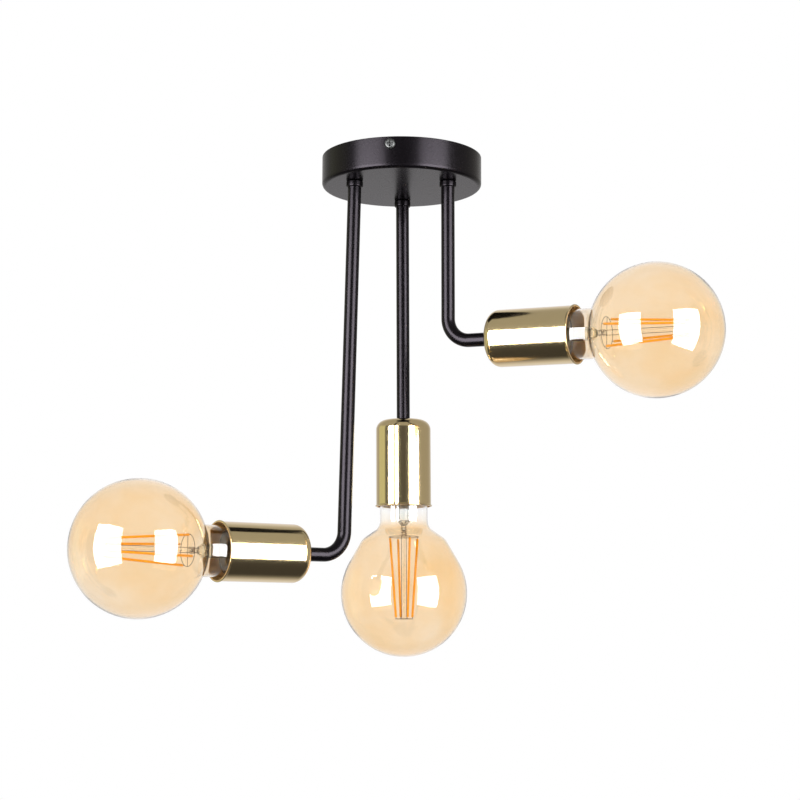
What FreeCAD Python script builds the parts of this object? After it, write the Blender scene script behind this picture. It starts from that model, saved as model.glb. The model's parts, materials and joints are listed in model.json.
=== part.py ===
"""Semi flush ceiling light: a round canopy, three tubes and three lamp cups with globe bulbs.

Millimetres, +Z up.  The origin is the middle of the ceiling face, on the back of the
mounting strip, so the whole lamp hangs below z = 0.  The mounting strip runs along Y.
Every turned piece is drawn about its own Z axis and then placed.
"""
import FreeCAD, Part
import math
import os
import re
import types

import Sketcher
from FreeCAD import Placement, Rotation, Vector

SIDES = ("left", "centre", "right")

# One line for each driving size: name, value in millimetres or degrees, what it is.
SIZES = (
    ("canopy_diameter", 120.0, "outside of the round cover"),
    ("canopy_height", 23.0, "ceiling to underside"),
    ("canopy_sheet", 1.2, "sheet steel of the cover"),
    ("canopy_edge_round", 3.0, "round between side wall and underside"),
    ("tube_circle", 80.0, "diameter of the circle the three tubes stand on"),
    ("left_seat_angle", 217.2, "where each tube stands on that circle, from +X"),
    ("centre_seat_angle", 97.2, ""),
    ("right_seat_angle", 337.2, ""),
    ("tube_diameter", 10.0, "outside of the bent tubes and of their M10x1 ends"),
    ("tube_wall", 1.0, ""),
    ("turning_gap", 0.1, "radial gap of a tube in the cover's hole"),
    ("thread_gap", 0.05, "radial gap that stands for a thread"),
    ("nut_flats", 14.0, "M10x1 nut across its flats"),
    ("nut_height", 3.5, ""),
    ("tube_above_nut", 1.0, "tube end standing above its nut in the canopy"),
    ("collar_diameter", 12.4, "rounded collar under the cover"),
    ("collar_height", 4.8, ""),
    ("collar_round", 1.0, ""),
    ("lean_radius", 60.0, "centre line radius where a tube leaves the vertical"),
    ("left_lean", 1.4, "angle of each tube from the vertical, outwards"),
    ("centre_lean", 0.5, ""),
    ("right_lean", 0.2, ""),
    ("left_azimuth", 220.2, "direction in which each arm points, from +X"),
    ("centre_azimuth", 7.2, ""),
    ("right_azimuth", 341.2, ""),
    ("elbow_turn", 88.4, "angle that both elbows are bent by"),
    ("elbow_radius", 17.5, "centre line radius of the elbows"),
    ("left_drop", 300.9, "ceiling to the corner of each elbow's centre lines"),
    ("right_drop", 143.7, ""),
    ("arm_cup_start", 35.0, "elbow corner to the closed end of the cup"),
    ("centre_cup_drop", 194.5, "ceiling to the closed end of the centre cup"),
    ("cup_diameter", 41.5, "outside of the lamp cups"),
    ("cup_length", 66.0, ""),
    ("cup_wall", 0.8, ""),
    ("cup_floor", 2.0, "thickness of the closed end, tapped M10x1"),
    ("cup_end_round", 7.5, "outside round of the closed end"),
    ("cup_lip_width", 0.75, "how far the rolled lip stands out"),
    ("cup_lip_height", 1.2, ""),
    ("arm_holder_gap", 0.5, "free thread between cup nut and lampholder"),
    ("centre_holder_gap", 5.2, "the same on the centre tube"),
    ("thread_grip", 7.0, "tube end screwed into the lampholder"),
    ("holder_diameter", 38.2, "E27 lampholder"),
    ("holder_length", 50.0, ""),
    ("holder_neck_diameter", 20.0, ""),
    ("holder_neck_length", 6.0, ""),
    ("holder_cone_height", 6.0, ""),
    ("holder_roof", 2.0, "plastic round the wire chamber"),
    ("socket_depth", 32.8, "lampholder's mouth to the top of the contact partition"),
    ("partition_thickness", 2.4, ""),
    ("mouth_flare", 2.3, "radial flare of the lampholder's mouth"),
    ("mouth_flare_depth", 4.0, ""),
    ("rivet_radius", 1.5, "rivet of the centre contact"),
    ("contact_radius", 6.0, "sprung centre contact"),
    ("contact_sheet", 0.5, ""),
    ("contact_rise", 3.3, "top of the contact above its partition"),
    ("contact_gap", 0.1, "between the centre contact and the bulb's tip"),
    ("screw_pitch", 3.63, "E27 thread"),
    ("screw_depth", 0.9, "E27 thread, crest to root"),
    ("screw_turns", 5, ""),
    ("cap_crest_radius", 13.2, "outside of the bulb cap's thread"),
    ("cap_clearance", 0.2, "radial gap that lets the cap slide out of the shell"),
    ("shell_sheet", 0.4, "brass of the lampholder's screw shell"),
    ("shell_rim", 3.0, "plain rim at each end of the screw shell"),
    ("cap_sheet", 0.3, ""),
    ("globe_diameter", 95.0, "G95 bulb"),
    ("glass_wall", 0.9, ""),
    ("globe_cone_angle", 60.0, "where the globe runs out into its shoulder, from the cap axis"),
    ("neck_slope_angle", 56.0, "slope of the shoulder into the neck, from the cap axis"),
    ("shoulder_height", 40.9, "globe middle to the shoulder's corner, along the axis"),
    ("shoulder_round", 14.0, ""),
    ("neck_radius", 18.0, "bulb neck at the cup's rim"),
    ("neck_flare_radius", 9.0, ""),
    ("neck_end", 64.5, "globe middle to the end of the straight neck"),
    ("cap_edge", 73.0, "globe middle to the open edge of the cap"),
    ("cap_skirt", 3.4, "plain edge of the cap that holds the glass"),
    ("glass_in_cap_gap", 0.05, "cement line between glass and cap"),
    ("bulb_tip", 100.0, "globe middle to the end of the centre contact"),
    ("tip_radius", 4.8, "solder contact"),
    ("tip_height", 1.5, ""),
    ("insulator_radius", 6.2, "glass button between cap and contact"),
    ("insulator_height", 3.5, ""),
    ("stem_radius", 4.8, "glass stem tube"),
    ("stem_wall", 0.8, ""),
    ("stem_pinch", 8.0, "solid length at the stem's end"),
    ("stem_end", 49.0, "globe middle to the end of the stem"),
    ("filament_diameter", 1.7, ""),
    ("arm_flare_radius", 5.0, "bent arms' bulbs: round from the globe straight into the neck"),
    ("arm_bulb_shorter", 1.5, "how much less those bulbs measure from globe middle to tip"),
    ("arm_stem_longer", 6.4, "how much nearer the globe middle their stem ends"),
    ("filament_turn", 24.0, "angle of the first filament round the bulb's axis"),
    ("filament_near_radius", 11.4, "filament ends: radius and height from the globe middle"),
    ("filament_near_height", 42.8, ""),
    ("filament_far_radius", 6.6, ""),
    ("filament_far_height", -19.0, ""),
    ("filament_count", 4, ""),
    ("wire_diameter", 0.6, "support wires"),
    ("wire_gap", 0.1, "weld gap between a filament and its ring"),
    ("rod_spacing", 3.6, "between the two support rods"),
    ("cable_diameter", 5.4, "sheathed two-core cable in each tube"),
    ("cable_above_tube", 0.5, ""),
    ("cable_end_gap", 0.3, "cable end to the contact rivet"),
    ("lead_diameter", 1.8, "single leads in the canopy"),
    ("lead_offset", 1.1, "from the cable's axis to each lead"),
    ("lead_spacing", 0.3, "between two leads in one terminal"),
    ("lead_straight", 9.0, "straight length of a lead before its terminal"),
    ("lead_clamped", 4.0, "length of a lead inside its terminal"),
    ("strip_length", 115.6, "steel mounting strip, over its ears"),
    ("strip_width", 18.0, ""),
    ("strip_sheet", 1.5, ""),
    ("strip_ear", 10.5, "ceiling to the end of an ear"),
    ("strip_bend", 2.0, "outside bend radius"),
    ("slot_spacing", 86.0, "between the two fixing slots' middles"),
    ("slot_length", 18.0, ""),
    ("slot_width", 5.2, ""),
    ("cover_screw_depth", 5.7, "ceiling to the axis of the side screws"),
    ("screw_radius", 2.0, "M4 screws"),
    ("screw_head_radius", 3.85, ""),
    ("screw_head_height", 2.4, ""),
    ("screw_head_round", 1.6, ""),
    ("screw_clearance", 0.2, "radial gap of a screw in the cover"),
    ("cover_screw_length", 8.0, ""),
    ("cross_length", 4.6, "cross recess"),
    ("cross_width", 0.9, ""),
    ("cross_depth", 1.3, ""),
    ("terminal_pitch", 10.0, "three pole terminal block"),
    ("terminal_poles", 3, ""),
    ("terminal_margin", 1.0, ""),
    ("terminal_width", 17.0, ""),
    ("terminal_height", 12.0, ""),
    ("sleeve_radius", 3.0, "brass sleeve in each pole"),
    ("sleeve_bore", 2.2, ""),
    ("sleeve_fit", 0.05, ""),
    ("clamp_radius", 1.5, "M3 clamping screws"),
    ("clamp_head_radius", 1.9, ""),
    ("clamp_spacing", 9.6, "between a pole's two screws"),
    ("clamp_recess", 0.3, ""),
    ("clamp_slot", 0.7, ""),
    ("fixing_head_radius", 2.7, "screw that holds the block to the strip"),
    ("fixing_head_height", 1.8, ""),
    ("earth_place", 27.0, "canopy middle to the earth screw"),
    ("ring_radius", 4.0, "ring terminal of the earth lead"),
    ("ring_sheet", 0.8, ""),
    ("ring_tongue", 5.0, ""),
    ("ring_tongue_width", 3.0, ""),
    ("earth_lead_lap", 1.5, "earth lead on its ring's tongue"),
    ("earth_lead_run", 2.5, "straight run of the earth lead past the tongue and at the block"),
)

FUNCTION_NAMES = ("sin", "cos", "tan", "sqrt")
EPSILON = 1e-9

document = FreeCAD.newDocument("ceiling_light")
sheet = document.addObject("Spreadsheet::Sheet", "Sizes")


def fill_sheet():
    """Write every driving size into the sheet and return them all by name."""
    for row, (name, value, note) in enumerate(SIZES, start=1):
        sheet.set(f"A{row}", name)
        sheet.set(f"B{row}", str(value))
        sheet.setAlias(f"B{row}", name)
        sheet.set(f"C{row}", note)
    document.recompute()
    return types.SimpleNamespace(**{name: float(sheet.get(name)) for name, _, _ in SIZES})


size = fill_sheet()


def bound(text):
    """The sheet expression for a text of size names, such as 'cup_diameter / 2'."""
    def qualified(match):
        word = match.group(0)
        return word if word in FUNCTION_NAMES else f"Sizes.{word}"

    return re.sub(r"[A-Za-z_]\w*", qualified, str(text))


def worth(text):
    """The number that such a text stands for."""
    return float(sheet.evalExpression(bound(text)))


# ---------------------------------------------------------------- sketches and bodies

def new_body(name):
    body = document.addObject("PartDesign::Body", f"{name}_body")
    body.Label = name
    return body


def new_sketch(body, plane, tag):
    """An empty sketch on one of the body's own origin planes."""
    sketch = body.newObject("Sketcher::SketchObject", f"{body.Name}_{tag}")
    origin_plane = [item for item in body.Origin.OriginFeatures if item.Role == plane][0]
    sketch.AttachmentSupport = [(origin_plane, "")]
    sketch.MapMode = "FlatFace"
    return sketch


def tie(sketch, kind, geometry, texts):
    """Add a constraint of the given kind and bind its value to the sheet."""
    value = worth(texts)
    index = sketch.addConstraint(Sketcher.Constraint(kind, *geometry, abs(value)))
    sketch.setExpression(f"Constraints[{index}]", bound(texts if value > 0 else f"-({texts})"))


def tie_coordinate(sketch, kind, axis, point, text):
    """Hold one coordinate of a point at the value of a text, on either side of zero."""
    value = worth(text)
    if abs(value) < EPSILON:
        sketch.addConstraint(Sketcher.Constraint("PointOnObject", *point, axis))
    elif value > 0:
        tie(sketch, kind, (-1, 1, *point), text)
    else:
        tie(sketch, kind, (*point, -1, 1), text)


def tie_point(sketch, point, across, along):
    tie_coordinate(sketch, "DistanceX", -2, point, across)
    tie_coordinate(sketch, "DistanceY", -1, point, along)


def arc_through(start, end, radius, side):
    """The short arc from start to end whose centre lies left (1) or right (-1) of its chord."""
    chord = end - start
    reach = math.sqrt(max(radius ** 2 - (chord.Length / 2) ** 2, 0.0))
    normal = Vector(-chord.y, chord.x, 0).normalize()
    centre = (start + end) / 2 + normal * (reach * side)
    middle = centre + ((start + end) / 2 - centre).normalize() * radius
    return Part.Arc(start, middle, end)


def draw_path(sketch, vertices, closed):
    """Lines and arcs through the vertices, every one tied to the sheet.

    A vertex is (across, along), or (across, along, radius, side) where an arc ends there.
    """
    places = [Vector(worth(vertex[0]), worth(vertex[1]), 0) for vertex in vertices]
    steps = len(vertices) if closed else len(vertices) - 1
    ends = []
    for index in range(steps):
        following = (index + 1) % len(vertices)
        target = vertices[following]
        start, end = places[index], places[following]
        if len(target) == 2:
            curve = sketch.addGeometry(Part.LineSegment(start, end), False)
            ends.append((curve, 1, 2))
            continue
        curve = sketch.addGeometry(arc_through(start, end, worth(target[2]), target[3]), False)
        ends.append((curve, 1, 2) if target[3] > 0 else (curve, 2, 1))
        tie(sketch, "Radius", (curve,), target[2])
    for index in range(steps if closed else steps - 1):
        here, after = ends[index], ends[(index + 1) % steps]
        sketch.addConstraint(Sketcher.Constraint("Coincident", here[0], here[2], after[0], after[1]))
    for index in range(steps):
        tie_point(sketch, (ends[index][0], ends[index][1]), *vertices[index][:2])
    if not closed:
        tie_point(sketch, (ends[-1][0], ends[-1][2]), *vertices[-1][:2])


def draw_circle(sketch, across, along, radius):
    centre = Vector(worth(across), worth(along), 0)
    curve = sketch.addGeometry(Part.Circle(centre, Vector(0, 0, 1), worth(radius)), False)
    tie(sketch, "Radius", (curve,), radius)
    tie_point(sketch, (curve, 3), across, along)


def turned(name, vertices):
    """A solid of revolution about Z from a closed profile of (radius, height) vertices."""
    body = new_body(name)
    sketch = new_sketch(body, "XZ_Plane", "profile")
    draw_path(sketch, vertices, closed=True)
    feature = body.newObject("PartDesign::Revolution", f"{name}_revolution")
    feature.Profile = sketch
    feature.ReferenceAxis = (sketch, ["V_Axis"])
    feature.Angle = 360.0
    return body


def extruded(name, plane, outline, length, circles=(), symmetric=False):
    """A prism of the outline, with round holes, along the normal of an origin plane."""
    body = new_body(name)
    sketch = new_sketch(body, plane, "outline")
    draw_path(sketch, outline, closed=True)
    for circle in circles:
        draw_circle(sketch, *circle)
    feature = body.newObject("PartDesign::Pad", f"{name}_pad")
    feature.Profile = sketch
    feature.setExpression("Length", bound(length))
    feature.SideType = "Symmetric" if symmetric else "One side"
    return body


def pocketed(body, plane, tag, outlines=(), circles=(), depth=None, height=None, both_ways=False):
    """Cut outlines and circles out of a body and make sure that something was cut."""
    document.recompute()
    before = body.Shape.Volume
    sketch = new_sketch(body, plane, tag)
    if height is not None:
        sketch.setExpression(".AttachmentOffset.Base.z", bound(height))
    for outline in outlines:
        draw_path(sketch, outline, closed=True)
    for circle in circles:
        draw_circle(sketch, *circle)
    feature = body.newObject("PartDesign::Pocket", f"{body.Name}_{tag}_pocket")
    feature.Profile = sketch
    feature.SideType = "Symmetric" if both_ways else "One side"
    if depth is None:
        feature.Type = "ThroughAll"
    else:
        feature.setExpression("Length", bound(depth))
    document.recompute()
    if not body.Shape.Volume < before - EPSILON:
        raise RuntimeError(f"{body.Label}: the pocket {tag} cuts nothing")
    return feature


def cross_outline(length, width):
    """A plus sign about the origin."""
    long, short = f"{length} / 2", f"{width} / 2"
    quarter = [(short, long), (short, short), (long, short)]
    outline = list(reversed(quarter))
    outline += [(f"-({a})", b) for a, b in quarter]
    outline += [(f"-({a})", f"-({b})") for a, b in reversed(quarter)]
    outline += [(a, f"-({b})") for a, b in quarter]
    return outline


# ---------------------------------------------------------------- primitives and groups

def cylinder(name, radius, height):
    item = document.addObject("Part::Cylinder", name)
    item.setExpression("Radius", bound(radius))
    item.setExpression("Height", bound(height))
    return item


def placed(item, x, y, z, axis=Vector(0, 0, 1), angle=0.0):
    """Place an item at three texts of sizes, turned about an axis."""
    item.Placement = Placement(Vector(worth(x), worth(y), worth(z)), Rotation(axis, angle))
    for letter, text in zip("xyz", (x, y, z)):
        item.setExpression(f".Placement.Base.{letter}", bound(text))
    return item


def box(name, length, width, height, middle=("0", "0", "0")):
    """A box whose foot is centred on a point."""
    item = document.addObject("Part::Box", name)
    item.setExpression("Length", bound(length))
    item.setExpression("Width", bound(width))
    item.setExpression("Height", bound(height))
    across, along, foot = middle
    return placed(item, f"{across} - ({length}) / 2", f"{along} - ({width}) / 2", foot)


def group(name, items):
    """Separate like solids that share one node."""
    compound = document.addObject("Part::Compound", f"{name}_group")
    compound.Label = name
    compound.Links = items
    return compound


def fused(name, items):
    fusion = document.addObject("Part::MultiFuse", f"{name}_fusion")
    fusion.Label = name
    fusion.Shapes = items
    return fusion


def cut(name, base, tools):
    difference = document.addObject("Part::Cut", f"{name}_cut")
    difference.Label = name
    difference.Base = base
    difference.Tool = tools[0] if len(tools) == 1 else group(f"{name}_tools", tools)
    return difference


# ---------------------------------------------------------------- where things are

def seat(side):
    """Middle of a tube where it passes the ceiling plane, as a pair of numbers."""
    angle = math.radians(getattr(size, f"{side}_seat_angle"))
    return Vector(math.cos(angle), math.sin(angle), 0) * (size.tube_circle / 2)


def arm_frame(side):
    """Frame of an arm: origin in the ceiling plane on the tube's axis, X outwards."""
    return Placement(seat(side), Rotation(Vector(0, 0, 1), getattr(size, f"{side}_azimuth")))


def is_bent(side):
    return side != "centre"


def final_angle(side):
    """Angle of an arm's last straight from straight down, as a text."""
    return f"({side}_lean + elbow_turn)" if is_bent(side) else f"({side}_lean)"


LEAN_DEPTH = "(canopy_height + collar_height)"


def corner(side):
    """Arm frame coordinates of the point that lengths along the last straight start from."""
    if is_bent(side):
        return f"(({side}_drop - {LEAN_DEPTH}) * tan({side}_lean))", f"(-{side}_drop)"
    return "0", f"(-{LEAN_DEPTH})"


def cup_start(side):
    return "arm_cup_start" if is_bent(side) else f"(centre_cup_drop - {LEAN_DEPTH})"


def holder_start(side):
    gap = "arm_holder_gap" if is_bent(side) else "centre_holder_gap"
    return f"({cup_start(side)} + cup_floor + nut_height + {gap})"


# From the lampholder's base. What the bulb screws into hangs from the mouth, so the bulb clears it.
PARTITION_TOP = "(holder_length - socket_depth)"


def neck_height(side, name):
    """A height of the neck or cap above the globe's middle: the bent arms' bulbs are shorter."""
    return f"({name} - arm_bulb_shorter)" if is_bent(side) else f"({name})"


def stem_height(side, name):
    """A height of the stem or of what it carries: the bent arms' bulbs have a longer stem."""
    return f"({name} - arm_stem_longer)" if is_bent(side) else f"({name})"


def bulb_middle(side):
    tip = neck_height(side, "bulb_tip")
    return f"({holder_start(side)} + {PARTITION_TOP} + contact_rise + contact_gap + {tip})"


def along_arm(side, reach):
    """Frame on an arm's last straight, Z pointing out along it."""
    across, height = corner(side)
    angle = final_angle(side)
    length = worth(reach)
    turn = math.radians(worth(angle))
    place = Vector(worth(across) + length * math.sin(turn), 0, worth(height) - length * math.cos(turn))
    lift = Rotation(Vector(0, 1, 0), 180.0 - worth(angle))
    return arm_frame(side) * Placement(place, lift)


def facing_back(frame):
    """The same frame with its Z the other way, as a bulb's cap points."""
    return frame * Placement(Vector(), Rotation(Vector(1, 0, 0), 180.0))


# ---------------------------------------------------------------- canopy

FLOOR_TOP = "(canopy_sheet - canopy_height)"
TUBE_TOP = f"({FLOOR_TOP} + nut_height + tube_above_nut)"
CABLE_TOP = f"({TUBE_TOP} + cable_above_tube)"


def make_cover():
    """Pressed steel cup with three tube holes and two side holes."""
    outer = "canopy_diameter / 2"
    inner = f"({outer} - canopy_sheet)"
    bend = "canopy_edge_round"
    body = turned("canopy_cover", [
        (outer, "0"),
        (inner, "0"),
        (inner, f"-(canopy_height - {bend})"),
        (f"{outer} - {bend}", FLOOR_TOP, f"{bend} - canopy_sheet", -1),
        ("0", FLOOR_TOP),
        ("0", "-canopy_height"),
        (f"{outer} - {bend}", "-canopy_height"),
        (outer, f"-(canopy_height - {bend})", bend, 1),
    ])
    holes = []
    for side in SIDES:
        reach = "tube_circle / 2"
        angle = f"{side}_seat_angle"
        holes.append((f"{reach} * cos({angle})", f"{reach} * sin({angle})",
                      "tube_diameter / 2 + turning_gap"))
    pocketed(body, "XY_Plane", "tube_holes", circles=holes)
    side_hole = ("0", "-cover_screw_depth", "screw_radius + screw_clearance")
    pocketed(body, "XZ_Plane", "side_holes", circles=[side_hole], both_ways=True)
    return body


def make_strip():
    """Mounting strip: a bent steel plate with tapped ears, slots and tapped holes."""
    half = "strip_length / 2"
    bend = "strip_bend"
    inside = "(strip_bend - strip_sheet)"
    body = extruded("ceiling_bracket", "YZ_Plane", [
        (f"-({half} - {bend})", "0"),
        (f"-({half})", f"-{bend}", bend, 1),
        (f"-({half})", "-strip_ear"),
        (f"-({half} - strip_sheet)", "-strip_ear"),
        (f"-({half} - strip_sheet)", f"-{bend}"),
        (f"-({half} - {bend})", "-strip_sheet", inside, -1),
        (f"{half} - {bend}", "-strip_sheet"),
        (f"{half} - strip_sheet", f"-{bend}", inside, -1),
        (f"{half} - strip_sheet", "-strip_ear"),
        (half, "-strip_ear"),
        (half, f"-{bend}"),
        (f"{half} - {bend}", "0", bend, 1),
    ], "strip_width", symmetric=True)
    reach = "(slot_length - slot_width) / 2"
    width = "slot_width / 2"
    slots = []
    for sign in ("", "-"):
        middle = f"({sign}slot_spacing / 2)"
        slots.append([
            (f"-({width})", f"{middle} - {reach}"),
            ("0", f"{middle} - {reach} - {width}", width, 1),
            (width, f"{middle} - {reach}", width, 1),
            (width, f"{middle} + {reach}"),
            ("0", f"{middle} + {reach} + {width}", width, 1),
            (f"-({width})", f"{middle} + {reach}", width, 1),
        ])
    pocketed(body, "XY_Plane", "slots", outlines=slots, depth="2 * strip_sheet", both_ways=True)
    taps = [
        ("terminal_pitch / 2", "0", "clamp_radius"),
        ("0", "earth_place", "screw_radius"),
    ]
    pocketed(body, "XY_Plane", "taps", circles=taps, depth="3 * strip_sheet", both_ways=True)
    ear_tap = ("0", "-cover_screw_depth", "screw_radius")
    pocketed(body, "XZ_Plane", "ear_taps", circles=[ear_tap], both_ways=True)
    return body


def pan_screw(name, shank_length):
    """M4 screw with a rounded cross head: head up from z = 0, shank down."""
    shank = "(screw_radius - thread_gap)"
    head, height, edge = "screw_head_radius", "screw_head_height", "screw_head_round"
    body = turned(name, [
        ("0", f"-({shank_length})"),
        (shank, f"-({shank_length})"),
        (shank, "0"),
        (head, "0"),
        (head, f"{height} - {edge}"),
        (f"{head} - {edge}", height, edge, 1),
        ("0", height),
    ])
    pocketed(body, "XY_Plane", "cross", outlines=[cross_outline("cross_length", "cross_width")],
             depth="cross_depth", height=height)
    return body


def make_cover_screws():
    """Two M4 screws that clamp the cover to the strip's ears."""
    screws = []
    for index, sign in enumerate((-1, 1)):
        screw = pan_screw(f"cover_screw_{index + 1}", "cover_screw_length")
        place = Vector(0, sign * size.canopy_diameter / 2, -size.cover_screw_depth)
        screw.Placement = Placement(place, Rotation(Vector(1, 0, 0), -90.0 * sign))
        screws.append(screw)
    return group("cover_screws", screws)


def pole_places():
    """X of each pole of the terminal block, as texts."""
    count = int(size.terminal_poles)
    return [f"(terminal_pitch * ({index} - (terminal_poles - 1) / 2))" for index in range(count)]


SLEEVE_AXIS = "(-strip_sheet - terminal_height / 2)"
BLOCK_UNDERSIDE = "(-strip_sheet - terminal_height)"


def make_terminal_housing():
    """Plastic block with a channel for each sleeve and a shaft for each screw."""
    base = box("terminal_block", "terminal_pitch * terminal_poles + terminal_margin",
               "terminal_width", "terminal_height", ("0", "0", BLOCK_UNDERSIDE))
    tools = []
    for index, across in enumerate(pole_places()):
        channel = cylinder(f"channel_{index}", "sleeve_radius + sleeve_fit", "2 * terminal_width")
        tools.append(placed(channel, across, "terminal_width", SLEEVE_AXIS, Vector(1, 0, 0), 90.0))
        for sign in ("", "-"):
            shaft = cylinder(f"shaft_{len(tools)}", "clamp_head_radius + sleeve_fit",
                             "terminal_height / 2 + sleeve_fit")
            foot = f"{BLOCK_UNDERSIDE} - sleeve_fit"
            tools.append(placed(shaft, across, f"{sign}clamp_spacing / 2", foot))
    hole = cylinder("fixing_hole", "clamp_radius + sleeve_fit", "3 * terminal_height")
    tools.append(placed(hole, "terminal_pitch / 2", "0", "-2 * terminal_height"))
    return cut("terminal_housing", base, tools)


def make_terminal_sleeves():
    """A brass tube in each pole, tapped for its two clamping screws."""
    sleeves = []
    for index, across in enumerate(pole_places()):
        outside = cylinder(f"sleeve_{index}_outside", "sleeve_radius", "terminal_width")
        placed(outside, across, "terminal_width / 2", SLEEVE_AXIS, Vector(1, 0, 0), 90.0)
        bore = cylinder(f"sleeve_{index}_bore", "sleeve_bore", "2 * terminal_width")
        tools = [placed(bore, across, "terminal_width", SLEEVE_AXIS, Vector(1, 0, 0), 90.0)]
        for sign in ("", "-"):
            tap = cylinder(f"sleeve_{index}_tap_{len(tools)}", "clamp_radius", "terminal_height / 2")
            tools.append(placed(tap, across, f"{sign}clamp_spacing / 2", BLOCK_UNDERSIDE))
        sleeves.append(cut(f"sleeve_{index}", outside, tools))
    return group("terminal_sleeves", sleeves)


def make_terminal_screws():
    """Slotted clamping screws, two for each pole, reached from below."""
    screws = []
    head = f"({SLEEVE_AXIS} - sleeve_radius)"
    foot = f"({BLOCK_UNDERSIDE} + clamp_recess)"
    for across in pole_places():
        for sign in ("", "-"):
            tag = f"clamp_{len(screws)}"
            along = f"{sign}clamp_spacing / 2"
            shank = cylinder(f"{tag}_shank", "clamp_radius - thread_gap",
                             f"{SLEEVE_AXIS} - sleeve_bore - {head}")
            cap = cylinder(f"{tag}_head", "clamp_head_radius", f"{head} - {foot}")
            slot = box(f"{tag}_slot", "3 * clamp_head_radius", "clamp_slot", "clamp_slot",
                       (across, along, foot))
            solid = fused(f"{tag}_solid", [placed(shank, across, along, head),
                                           placed(cap, across, along, foot)])
            screws.append(cut(tag, solid, [slot]))
    return group("terminal_screws", screws)


def make_housing_screw():
    """The screw that holds the block to the strip."""
    name = "housing_screw"
    head = cylinder(f"{name}_head", "fixing_head_radius", "fixing_head_height")
    shank = cylinder(f"{name}_shank", "clamp_radius - thread_gap", "terminal_height + strip_sheet")
    slot = box(f"{name}_slot", "3 * fixing_head_radius", "clamp_slot", "clamp_slot",
               ("terminal_pitch / 2", "0", f"{BLOCK_UNDERSIDE} - fixing_head_height"))
    solid = fused(f"{name}_solid", [
        placed(head, "terminal_pitch / 2", "0", f"{BLOCK_UNDERSIDE} - fixing_head_height"),
        placed(shank, "terminal_pitch / 2", "0", BLOCK_UNDERSIDE),
    ])
    return cut(name, solid, [slot])


def make_earth_screw():
    """Earth screw through the strip, head down on its ring terminal."""
    screw = pan_screw("earth_screw", "strip_sheet + ring_sheet")
    place = Vector(0, size.earth_place, -size.strip_sheet - size.ring_sheet)
    screw.Placement = Placement(place, Rotation(Vector(1, 0, 0), 180.0))
    return screw


def make_earth_ring():
    """Ring terminal under the earth screw's head, its tongue towards the block."""
    height = "-strip_sheet - ring_sheet"
    ring = cylinder("ring", "ring_radius", "ring_sheet")
    tongue = box("tongue", "ring_tongue_width", "ring_tongue", "ring_sheet",
                 ("0", "earth_place - ring_radius - ring_tongue / 2 + ring_sheet", height))
    hole = cylinder("ring_hole", "screw_radius", "3 * ring_sheet")
    solid = fused("ring_solid", [placed(ring, "0", "earth_place", height), tongue])
    return cut("earth_ring", solid, [placed(hole, "0", "earth_place", f"{height} - ring_sheet")])


# ---------------------------------------------------------------- leads in the canopy

# Share of the shorter neighbouring run that an arc between two runs may take up.
ARC_SHARE = 0.45
SWEEP_TOLERANCE = 0.01

# Hand-chosen way of each lead: the height it rises to, then the points it bends at.
LEAD_RISES = {
    ("live", "left"): -7.0,
    ("live", "centre"): -5.5,
    ("live", "right"): -9.0,
    ("neutral", "left"): -6.0,
    ("neutral", "centre"): -8.0,
    ("neutral", "right"): -6.0,
}
LEAD_ROUTES = {
    ("live", "left"): [(-22.0, -26.0, -9.0)],
    ("live", "centre"): [(-15.0, 34.0, -5.0), (-24.0, 20.0, -5.0), (-26.0, 1.0, -5.0),
                         (-23.0, -16.0, -5.0), (-14.5, -25.0, -5.2)],
    ("live", "right"): [(24.0, -27.0, -10.0), (8.0, -33.0, -12.0), (-5.0, -29.0, -11.0)],
    ("neutral", "left"): [(-20.0, -32.0, -6.0), (-4.0, -33.5, -6.0), (6.0, -27.0, -6.5)],
    ("neutral", "centre"): [(-12.0, 29.0, -11.0), (-19.0, 12.0, -15.0), (-19.0, -6.0, -16.5),
                            (-10.0, -20.0, -16.0), (4.0, -25.5, -13.0)],
    ("neutral", "right"): [(27.0, -20.0, -6.5), (17.0, -24.5, -6.9)],
}


def rounded_route(points):
    """Straight runs and tangent arcs through hand-chosen points, each arc as large as fits."""
    edges = []
    start = points[0]
    for before, here, after in zip(points, points[1:], points[2:]):
        back, ahead = (before - here), (after - here)
        shorter = min(back.Length, ahead.Length)
        tangent = ARC_SHARE * shorter
        first = here + back.normalize() * tangent
        last = here + ahead.normalize() * tangent
        half_opening = back.getAngle(ahead) / 2
        radius = tangent * math.tan(half_opening)
        towards = (back + ahead).normalize()
        middle = here + towards * (radius / math.sin(half_opening) - radius)
        edges += [Part.makeLine(start, first), Part.Arc(first, middle, last).toShape()]
        start = last
    edges.append(Part.makeLine(start, points[-1]))
    return Part.Wire(edges)


def round_bar(route, diameter):
    """A round solid swept along a route, checked against its section times its length."""
    start = route.Edges[0].valueAt(route.Edges[0].FirstParameter)
    heading = route.Edges[0].tangentAt(route.Edges[0].FirstParameter)
    section = Part.Wire([Part.makeCircle(diameter / 2, start, heading)])
    solid = route.makePipeShell([section], True, False)
    expected = math.pi * (diameter / 2) ** 2 * route.Length
    if abs(solid.Volume / expected - 1) > SWEEP_TOLERANCE:
        raise RuntimeError("a swept bar lost its section")
    return solid


def feature_of(name, shape):
    feature = document.addObject("Part::Feature", f"{name}_shape")
    feature.Label = name
    feature.Shape = shape
    return feature


def lead_end(kind, side):
    """Offset of a lead from its terminal's axis: three leads share each bore."""
    spread = size.lead_diameter / 2 + size.lead_spacing / 2
    up = 1 if kind == "live" else -1
    return {
        "left": (-spread, -up * spread / math.sqrt(3)),
        "right": (spread, -up * spread / math.sqrt(3)),
        "centre": (0.0, up * 2 * spread / math.sqrt(3)),
    }[side]


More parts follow.
